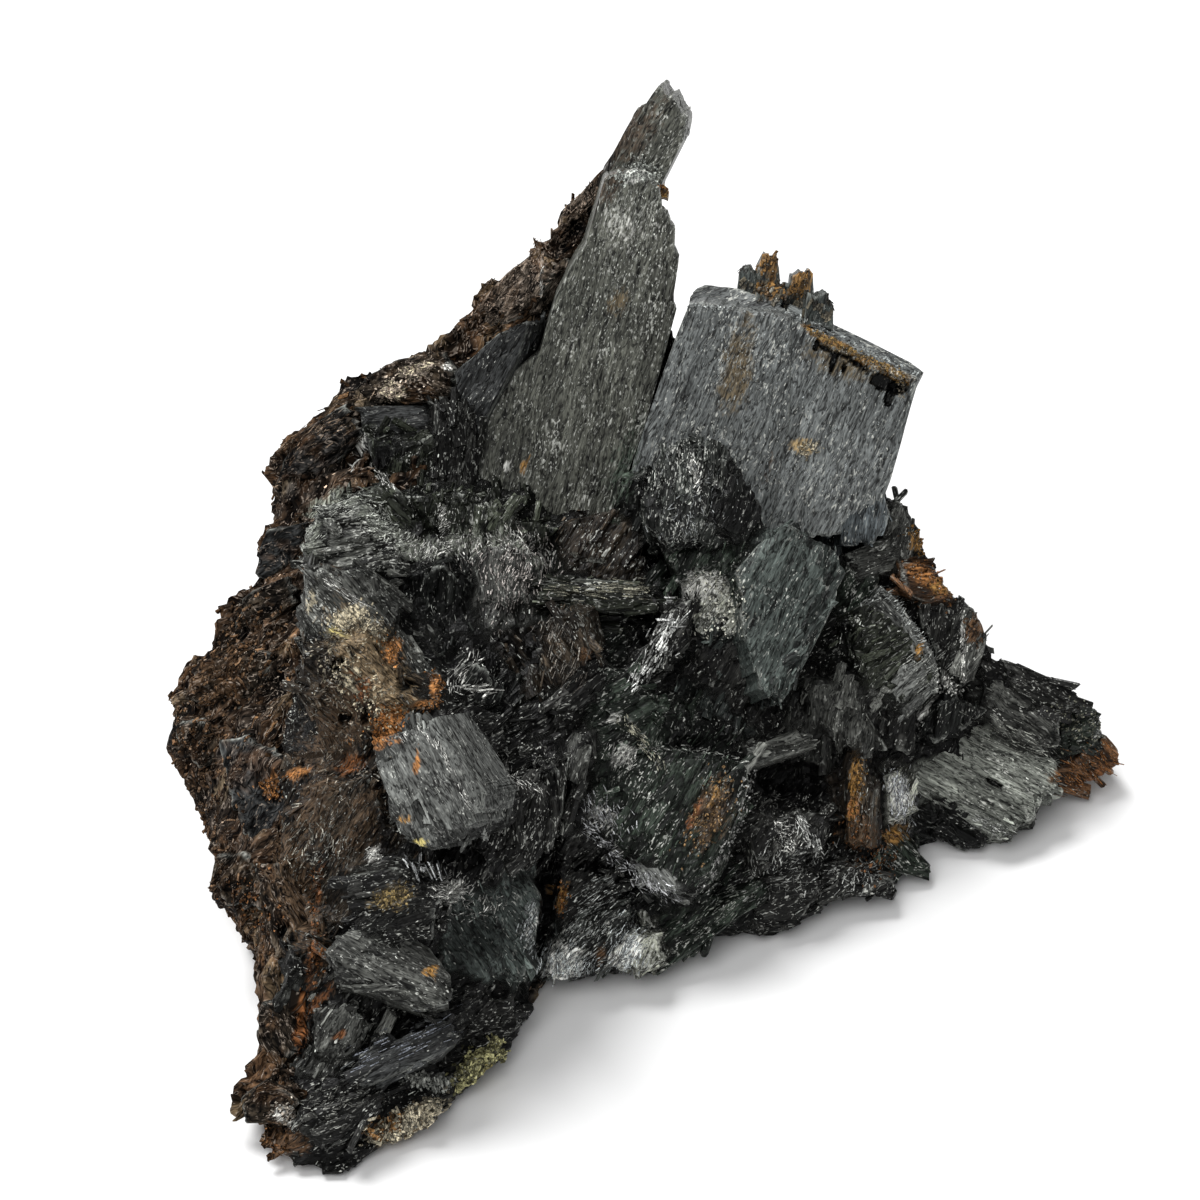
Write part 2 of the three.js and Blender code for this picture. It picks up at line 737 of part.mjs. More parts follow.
    outline: [
      [862, 604], [878, 596], [898, 594], [926, 640], [940, 664], [938, 690], [906, 714], [890, 700],
      [870, 690], [864, 650],
    ],
  },
  {
    proud: 5, up: -4, right: 10, thick: 12,
    outline: [
      [918, 600], [960, 602], [963, 680], [946, 692], [940, 664], [922, 630],
    ],
  },
  {
    proud: 4, up: 4, right: 26, thick: 12,
    outline: [
      [962, 600], [980, 610], [990, 640], [978, 680], [964, 690],
    ],
  },
  {
    proud: 5, up: -6, right: -4, thick: 12,
    outline: [
      [800, 676], [844, 680], [868, 716], [888, 752], [856, 758], [812, 726],
    ],
  },
  { proud: 4, up: -10, right: 6, thick: 10, outline: [[884, 706], [918, 708], [916, 760], [888, 752]] },
  {
    proud: 4, up: 10, right: 4, thick: 10,
    outline: [
      [920, 704], [958, 692], [990, 708], [966, 730], [936, 748], [914, 736],
    ],
  },
  {
    proud: 4, up: 16, right: 12, thick: 12,
    outline: [
      [1000, 656], [1046, 674], [1074, 684], [1084, 704], [1054, 712], [1010, 684],
    ],
  },
  {
    proud: 5, up: 12, right: 6, thick: 10,
    outline: [
      [986, 672], [1012, 676], [1060, 712], [1062, 742], [1044, 752], [1000, 728], [982, 704],
    ],
  },
  {
    proud: 6, up: 16, right: 2, thick: 10,
    outline: [
      [950, 736], [976, 722], [1012, 730], [1046, 750], [1061, 764], [1060, 790], [1042, 800],
      [1040, 820], [1020, 824], [1015, 838], [994, 836], [960, 816], [918, 794], [904, 770], [924, 746],
    ],
  },
  {
    proud: 4, up: 4, right: 22, thick: 8,
    outline: [
      [1062, 722], [1086, 704], [1103, 708], [1104, 734], [1090, 752], [1062, 758],
    ],
  },
  {
    proud: 3, up: -4, right: 20, thick: 7,
    outline: [
      [1060, 762], [1094, 750], [1108, 735], [1121, 750], [1119, 768], [1098, 780], [1080, 792],
      [1062, 786],
    ],
  },
  {
    proud: 3, up: -16, right: 4, thick: 8,
    outline: [
      [936, 804], [968, 812], [990, 832], [986, 848], [966, 856], [950, 848],
    ],
  },
  // The lower edge.
  {
    proud: 5, up: 4, right: 8, thick: 10,
    outline: [
      [884, 776], [900, 768], [909, 786], [915, 806], [904, 822], [888, 816],
    ],
  },
  {
    proud: 4, up: 0, right: -14, thick: 10,
    outline: [
      [846, 762], [862, 754], [874, 790], [870, 850], [848, 846], [842, 800],
    ],
  },
  {
    proud: 3, up: 0, right: 14, thick: 7,
    outline: [
      [886, 826], [904, 836], [936, 868], [928, 880], [900, 874], [872, 868],
    ],
  },
  {
    proud: 3, up: -10, right: 8, thick: 9,
    outline: [
      [806, 872], [846, 860], [896, 880], [900, 894], [840, 902], [812, 910],
    ],
  },
  {
    proud: 4, up: 10, right: -4, thick: 10,
    outline: [
      [736, 828], [800, 806], [832, 812], [820, 850], [752, 866],
    ],
  },
  {
    proud: 4, up: -12, right: -6, thick: 9,
    outline: [
      [740, 872], [790, 856], [822, 884], [808, 914], [786, 934], [748, 938],
    ],
  },
  {
    proud: 5, up: 10, right: 12, thick: 10,
    outline: [
      [640, 962], [662, 926], [706, 902], [764, 878], [770, 900], [726, 926], [692, 954], [660, 974],
    ],
  },
  {
    proud: 4, up: 0, right: -10, thick: 9,
    outline: [
      [612, 962], [630, 928], [656, 932], [662, 960], [640, 976], [618, 972],
    ],
  },
  {
    proud: 4, up: 4, right: -12, thick: 10,
    outline: [
      [541, 968], [556, 926], [600, 896], [632, 904], [610, 960], [598, 974], [556, 980],
    ],
  },
  {
    proud: 3, up: -4, right: -10, thick: 10,
    outline: [
      [556, 840], [600, 848], [640, 884], [600, 898], [552, 920],
    ],
  },
  {
    proud: 3, up: 6, right: 10, thick: 10,
    outline: [
      [452, 880], [520, 862], [546, 900], [536, 968], [516, 996], [484, 940],
    ],
  },
  {
    proud: 4, up: 14, right: 2, thick: 12,
    outline: [
      [330, 956], [346, 940], [400, 944], [440, 960], [454, 986], [430, 1012], [398, 1000], [362, 988],
      [334, 982],
    ],
  },
  {
    proud: 3, up: -10, right: -8, thick: 10,
    outline: [
      [344, 880], [396, 868], [440, 900], [430, 944], [360, 936],
    ],
  },
  {
    proud: 4, up: 12, right: 2, thick: 8,
    outline: [
      [350, 1076], [360, 1054], [450, 1018], [466, 1034], [440, 1056], [400, 1074], [356, 1092],
    ],
  },
  {
    proud: 4, up: 4, right: 16, thick: 9,
    outline: [
      [456, 1022], [462, 1002], [516, 998], [522, 1026], [512, 1050], [476, 1056],
    ],
  },
  {
    proud: 3, up: 6, right: 12, thick: 7,
    outline: [
      [444, 1066], [494, 1046], [506, 1058], [482, 1078], [456, 1096], [440, 1088],
    ],
  },
  {
    proud: 3, up: 4, right: 10, thick: 6,
    outline: [
      [368, 1142], [398, 1114], [440, 1098], [446, 1110], [430, 1130], [396, 1146],
    ],
  },
  {
    proud: 3, up: 6, right: -4, thick: 9,
    outline: [
      [298, 1100], [350, 1084], [376, 1094], [362, 1132], [322, 1152], [296, 1132],
    ],
  },
  {
    proud: 3, up: 0, right: -6, thick: 8,
    outline: [
      [310, 1010], [346, 1000], [372, 1024], [350, 1060], [314, 1056],
    ],
  },
];

// Lumps on the hidden back and sides of the host rock: centre and half sizes in millimetres.
const ROCK_LUMPS = [
  { at: [-50, 28, 18], size: [18, 16, 17] },
  { at: [-32, 54, 30], size: [19, 14, 20] },
  { at: [-6, 68, 22], size: [19, 13, 20] },
  { at: [-4, 68, 62], size: [11, 10, 22] },
  { at: [24, 62, 26], size: [19, 13, 19] },
  { at: [50, 46, 14], size: [17, 13, 12] },
  { at: [-62, 4, 13], size: [10, 15, 12] },
];

// Hollows between the crystals. Each is drawn on the sheet, and runs in from just over the rock.
const HOLLOWS = [
  {
    proud: 8, up: 0, right: 0, thick: 12,
    outline: [
      [332, 518], [344, 514], [350, 524], [342, 534], [331, 530],
    ],
  },
  { proud: 10, up: 10, right: 0, thick: 14, outline: [[428, 506], [448, 502], [446, 520], [436, 534]] },
  {
    proud: 12, up: 0, right: 0, thick: 14,
    outline: [
      [560, 764], [576, 758], [572, 792], [558, 822], [553, 800],
    ],
  },
  {
    proud: 12, up: 0, right: 0, thick: 14,
    outline: [
      [540, 852], [556, 842], [556, 890], [546, 930], [534, 962], [534, 900],
    ],
  },
  {
    proud: 12, up: 0, right: 0, thick: 14,
    outline: [
      [648, 548], [700, 542], [692, 568], [668, 578], [650, 570],
    ],
  },
  {
    proud: 12, up: 0, right: 0, thick: 14,
    outline: [
      [758, 768], [800, 756], [828, 766], [806, 796], [768, 798],
    ],
  },
  {
    proud: 10, up: 0, right: 0, thick: 12,
    outline: [
      [574, 856], [622, 866], [640, 890], [600, 890], [570, 878],
    ],
  },
  { proud: 10, up: 0, right: 0, thick: 12, outline: [[920, 836], [938, 832], [946, 858], [934, 868]] },
  {
    proud: 8, up: 0, right: 0, thick: 11,
    outline: [
      [320, 682], [346, 674], [352, 706], [336, 726], [320, 708],
    ],
  },
];

// Pits where small columns have broken out of the broad block.
const BLOCK_PITS = [
  {
    height: 81, up: 0, right: 8, thick: 7,
    outline: [
      [866, 372], [884, 364], [906, 378], [902, 398], [884, 404], [868, 394],
    ],
  },
  { height: 88, up: 0, right: 8, thick: 6, outline: [[812, 338], [823, 338], [824, 352], [814, 352]] },
  { height: 85, up: 0, right: 8, thick: 6, outline: [[830, 352], [838, 352], [837, 374], [830, 371]] },
];

// The host rock lies under and behind the dark mass. The first plane slopes under it, and the second stands
// on the left.
const UNDER = [seen(275, 1165, 3), seen(300, 560, 60), new THREE.Vector3(80, 55, 0)];
const BESIDE = [seen(300, 560, 60), seen(560, 300, 86), seen(560, 300, 86).setZ(0)];

// All that lies on the rock's side of the two planes, drawn back from them by a distance.
function rockRegion(distance) {
  return [UNDER, BESIDE]
    .map(([origin, second, third]) => {
      const normal = second.clone().sub(origin).cross(third.clone().sub(origin)).normalize();
      if (normal.x > 0) normal.negate();
      return halfSpace(origin.clone().addScaledVector(normal, distance), normal.clone().negate());
    })
    .reduce((all, half) => all.add(half));
}

const table = halfSpace(new THREE.Vector3(0, 0, 0), new THREE.Vector3(0, 0, 1));
const tallSocket = joined(TALL_CRYSTAL, GAP);
const blockSocket = joined(BLOCK_CRYSTAL, GAP);
const hollows = joined(HOLLOWS);

const tallCrystal = joined(TALL_CRYSTAL);
const blockCrystal = largestBody(joined(BLOCK_CRYSTAL).subtract(joined(BLOCK_PITS)).subtract(tallSocket));
const body = rockBody();
const crystalMass = largestBody(
  body
    .subtract(rockRegion(-GAP / 2))
    .add(joined(MASS_CRYSTALS))
    .subtract(hollows)
    .subtract(table)
    .subtract(tallSocket)
    .subtract(blockSocket),
);
const hostRock = largestBody(
  ROCK_LUMPS.map((one, i) => lump(one, i))
    .reduce((all, one) => all.add(one), body.intersect(rockRegion(GAP / 2)).add(joined(ROCK_BLOCKS)))
    .subtract(body.subtract(rockRegion(GAP / 2)))
    .subtract(joined(MASS_CRYSTALS, GAP))
    .subtract(hollows)
    .subtract(table)
    .subtract(tallSocket)
    .subtract(blockSocket),
);

const MATERIALS = {
  rock: new THREE.MeshStandardMaterial({ color: 0x3b2b20, roughness: 0.9, metalness: 0 }),
  mass: new THREE.MeshStandardMaterial({ color: 0x24282a, roughness: 0.6, metalness: 0 }),
  tall: new THREE.MeshStandardMaterial({ color: 0x4c5450, roughness: 0.5, metalness: 0 }),
  block: new THREE.MeshStandardMaterial({ color: 0x5a6468, roughness: 0.5, metalness: 0 }),
};

const specimen = new THREE.Group();
for (const [name, solid, material] of [
  ["host_rock", hostRock, MATERIALS.rock],
  ["crystal_mass", crystalMass, MATERIALS.mass],
  ["tall_crystal", tallCrystal, MATERIALS.tall],
  ["block_crystal", blockCrystal, MATERIALS.block],
]) {
  const mesh = new THREE.Mesh(geometryOf(solid), material);
  mesh.name = name;
  specimen.add(mesh);
}

export default specimen;
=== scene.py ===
"""Looks of the amphibole specimen: dark prismatic crystals grown together on a rusty brown host rock.

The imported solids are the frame. Each solid is rebuilt as a finely broken surface, the crystals that show get
faces of their own with lines and splinters along their grain, and small needles, crusts and stains lie on
top of them. Lengths are millimetres until a mesh is made, and the sheet is the square that the specimen is
drawn on, 1200 units a side, as it is looked at from the front and 40 degrees above.
"""

import itertools
import logging
from dataclasses import dataclass, field
from enum import Enum

import bmesh
import bpy
import numpy as np
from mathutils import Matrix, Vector
from mathutils.bvhtree import BVHTree


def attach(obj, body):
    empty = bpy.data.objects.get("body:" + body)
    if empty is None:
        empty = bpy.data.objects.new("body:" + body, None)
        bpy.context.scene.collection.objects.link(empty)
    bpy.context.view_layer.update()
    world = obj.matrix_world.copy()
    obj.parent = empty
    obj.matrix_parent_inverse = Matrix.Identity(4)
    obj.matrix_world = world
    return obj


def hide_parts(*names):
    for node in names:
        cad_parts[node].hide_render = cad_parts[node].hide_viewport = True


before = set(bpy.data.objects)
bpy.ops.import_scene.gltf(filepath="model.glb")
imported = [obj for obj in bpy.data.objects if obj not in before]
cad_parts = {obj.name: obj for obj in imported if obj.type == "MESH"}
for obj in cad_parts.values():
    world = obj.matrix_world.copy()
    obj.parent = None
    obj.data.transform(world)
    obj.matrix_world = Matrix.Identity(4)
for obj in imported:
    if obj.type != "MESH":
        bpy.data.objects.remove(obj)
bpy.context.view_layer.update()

log = logging.getLogger("specimen")
Array = np.ndarray
MM = 0.001


# Repeatable scatter and noise


def scatter(*keys: Array) -> Array:
    """Spreads whole numbers evenly and repeatably over 0 to 1: the fraction of a large multiple of a sine.

    Args:
        keys: arrays of numbers that broadcast together.

    Returns:
        One value from 0 to 1 for each set of keys.
    """
    total = sum(key * weight for key, weight in zip(keys, (127.1, 311.7, 74.7, 269.5)))
    wave = np.sin(total) * 43758.5453
    return wave - np.floor(wave)


def noise(points: Array, cell: float, seed: float) -> Array:
    """Smooth noise: scattered values at the corners of a cubic grid, blended by a smooth step between them.

    Args:
        points: n by 3 points.
        cell: the grid's spacing, in the points' unit.
        seed: shifts the scatter.

    Returns:
        n values between -1 and 1.
    """
    scaled = points / cell
    base = np.floor(scaled)
    part = scaled - base
    part = part * part * (3 - 2 * part)
    total = np.zeros(len(points))
    for corner in itertools.product((0, 1), repeat=3):
        weight = np.prod(np.where(corner, part, 1 - part), axis=1)
        at = base + corner
        total += weight * scatter(at[:, 0], at[:, 1], at[:, 2] + 17 * seed)
    return total * 2 - 1


def unit(vectors: Array) -> Array:
    """The same directions with length one."""
    return vectors / np.maximum(np.linalg.norm(vectors, axis=-1, keepdims=True), 1e-9)


# The way the specimen is looked at


@dataclass(frozen=True)
class Sight:
    """The line of sight through each point of the sheet, and the way back from a point to the sheet."""

    distance: float = 700.0
    elevation: float = 40.0
    target: tuple[float, float, float] = (0.0, 6.0, 58.0)
    mm_per_unit: float = 170 / 956
    middle: float = 600.0

    @property
    def up(self) -> Array:
        """The direction that the sheet's top lies in."""
        lift = np.radians(self.elevation)
        return np.array((0, np.sin(lift), np.cos(lift)))

    @property
    def towards(self) -> Array:
        """The direction from the specimen to the eye."""
        lift = np.radians(self.elevation)
        return np.array((0, -np.cos(lift), np.sin(lift)))

    @property
    def right(self) -> Array:
        """The direction that the sheet's right side lies in."""
        return np.array((1.0, 0, 0))

    @property
    def eye(self) -> Array:
        """Where the eye is."""
        return np.array(self.target) + self.towards * self.distance

    def ray(self, x: float, y: float) -> Array:
        """The direction of the line of sight through x, y of the sheet."""
        share = self.mm_per_unit / self.distance
        sideways = (x - self.middle) * share * self.right
        upwards = (self.middle - y) * share * self.up
        return unit(sideways + upwards - self.towards)

    def sheet(self, points: Array) -> Array:
        """Projects points on the sheet.

        Args:
            points: n by 3 points.

        Returns:
            n by 3: sheet x, sheet y and the distance towards the eye from the target.
        """
        local = points - np.array(self.target)
        near = local @ self.towards
        share = self.distance / (self.distance - near) / self.mm_per_unit
        sideways, upwards = local @ self.right * share, local @ self.up * share
        return np.stack((self.middle + sideways, self.middle - upwards, near), 1)


SIGHT = Sight()


@dataclass(frozen=True)
class Surface:
    """A mesh as arrays: n by 3 points and m by 3 triangles."""

    points: Array
    triangles: Array

    def edges(self) -> tuple[Array, Array, Array]:
        """The first corner of each triangle, and its edges to the second and the third."""
        a, b, c = (self.points[self.triangles[:, i]] for i in range(3))
        return a, b - a, c - a


def joined(surfaces: list[Surface]) -> Surface:
    """Several surfaces as one."""
    starts = np.cumsum([0] + [len(one.points) for one in surfaces])
    triangles = [one.triangles + start for one, start in zip(surfaces, starts)]
    return Surface(np.concatenate([one.points for one in surfaces]), np.concatenate(triangles))


class Carrier:
    """All the solids as one surface that the lines of sight meet."""

    def __init__(self, surfaces: list[Surface]) -> None:
        """Joins the solids' surfaces into one search tree."""
        whole = joined(surfaces)
        self.tree = BVHTree.FromPolygons(whole.points.tolist(), whole.triangles.tolist())

    def hit(self, x: float, y: float) -> tuple[Array, Array] | None:
        """Finds what is seen at x, y of the sheet.

        Args:
            x: sheet x.
            y: sheet y.

        Returns:
            The point and its normal, or None where the line of sight meets nothing.
        """
        place, normal, _, _ = self.tree.ray_cast(Vector(SIGHT.eye), Vector(SIGHT.ray(x, y)))
        return None if place is None else (np.array(place), np.array(normal))


def merged_surface(node: str) -> Surface:
    """The points and triangles of a solid, its loose triangles merged, in millimetres."""
    mesh = merged_copy(node)
    surface = surface_of(mesh)
    bpy.data.meshes.remove(mesh)
    return surface


def merged_copy(node: str) -> bpy.types.Mesh:
    """A copy of a solid's mesh with its loose triangles merged."""
    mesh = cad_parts[node].data.copy()
    work = bmesh.new()
    work.from_mesh(mesh)
    bmesh.ops.remove_doubles(work, verts=work.verts, dist=1e-6)
    work.to_mesh(mesh)
    work.free()
    return mesh


def surface_of(mesh: bpy.types.Mesh) -> Surface:
    """A mesh's points, in millimetres, and triangles."""
    points = np.empty(len(mesh.vertices) * 3)
    mesh.vertices.foreach_get("co", points)
    mesh.calc_loop_triangles()
    triangles = np.empty(len(mesh.loop_triangles) * 3, int)
    mesh.loop_triangles.foreach_get("vertices", triangles)
    return Surface(points.reshape(-1, 3) / MM, triangles.reshape(-1, 3))


def remeshed(node: str, voxel: float) -> Surface:
    """A solid's surface in even small faces.

    Args:
        node: the solid's name.
        voxel: the faces' size.

    Returns:
        The new surface.
    """
    holder = bpy.data.objects.new("remesh_work", merged_copy(node))
    bpy.context.scene.collection.objects.link(holder)
    step = holder.modifiers.new("Even faces", "REMESH")
    step.mode = "VOXEL"
    step.voxel_size = voxel * MM
    evaluated = holder.evaluated_get(bpy.context.evaluated_depsgraph_get())
    surface = surface_of(evaluated.to_mesh())
    evaluated.to_mesh_clear()
    bpy.data.objects.remove(holder)
    return surface


def point_normals(surface: Surface) -> Array:
    """The mean normal at each point of a surface, each triangle counted by its area."""
    _, first, second = surface.edges()
    face = np.cross(first, second)
    total = np.zeros_like(surface.points)
    for i in range(3):
        np.add.at(total, surface.triangles[:, i], face)
    return unit(total)


# Finishes


@dataclass(frozen=True)
class Finish:
    """How a crystal's faces look.

    colour is its own colour, fleck the share of pale flecks, which are pale grains and painted glints, rough
    the height of its splinters against the usual and the spread of their painted reflections, and ragged the
    length of its broken ends. rim is how pale its edges are, from wear and a painted highlight, and facets how
    far its face slopes away at the sides and the ends and how much lighter its right slope and darker its left
    slope are painted.
    """

    colour: tuple[float, float, float]
    fleck: float = 0.4
    rough: float = 1.0
    ragged: float = 1.2
    rim: float = 0.6
    facets: float = 0.8


class Look(Enum):
    """The kinds of face on the specimen."""

    SLATE = Finish((0.020, 0.021, 0.021), fleck=0.30, rough=0.5, facets=0.4)
    OLIVE = Finish((0.016, 0.018, 0.013), fleck=0.45)
    DARK = Finish((0.012, 0.012, 0.011), fleck=0.50)
    BLACK = Finish((0.005, 0.0055, 0.005), fleck=0.35)
    CRUST = Finish((0.040, 0.041, 0.037), fleck=0.95, rough=1.5)
    GREY = Finish((0.042, 0.043, 0.039), fleck=0.45, rough=0.6)
    BROWN = Finish((0.022, 0.017, 0.012), fleck=0.45)
    PALE = Finish((0.080, 0.083, 0.078), fleck=0.40, rough=0.5, facets=0.25)
    GREEN = Finish((0.016, 0.021, 0.016), fleck=0.50)
    FIBROUS = Finish((0.018, 0.020, 0.018), fleck=0.65, rough=1.2)
    PLATE = Finish((0.042, 0.050, 0.046), fleck=0.35, rough=0.35, facets=0.3)
    SPARKLY = Finish((0.150, 0.155, 0.128), fleck=1.00, rough=0.8)
    BLUE = Finish((0.045, 0.052, 0.055), fleck=0.50, rough=0.7)
    RUST = Finish((0.050, 0.026, 0.013), fleck=0.35, rough=1.2)
    FAN = Finish((0.125, 0.132, 0.116), fleck=0.45, rough=0.5, facets=0.2)
    LAYERED = Finish((0.018, 0.017, 0.016), fleck=0.40, rough=1.4)
    SPECKLED = Finish((0.060, 0.048, 0.037), fleck=0.85, rough=1.0)
    STRIPED = Finish((0.018, 0.014, 0.010), fleck=0.35, rough=1.1)
    AMBER = Finish((0.380, 0.210, 0.060), fleck=0.20, rough=0.4, facets=0.4)
    TALL = Finish((0.072, 0.074, 0.062), fleck=0.62, rough=0.35, ragged=0.8, rim=0.6, facets=0)
    BLOCK = Finish((0.112, 0.120, 0.118), fleck=0.57, rough=0.3, ragged=0.5, rim=0.7, facets=0)


@dataclass(frozen=True)
class Crystal:
    """A prism as it is seen.

    grain is the direction of its lines on the sheet in degrees, turn is how far its face looks up and right
    of the eye, thick its thickness and outline its corners on the sheet. slant shifts its back along the
    sheet.
    """

    look: Look
    grain: float
    turn: tuple[float, float]
    thick: float
    outline: tuple[tuple[float, float], ...]
    slant: tuple[float, float] = (0, 0)


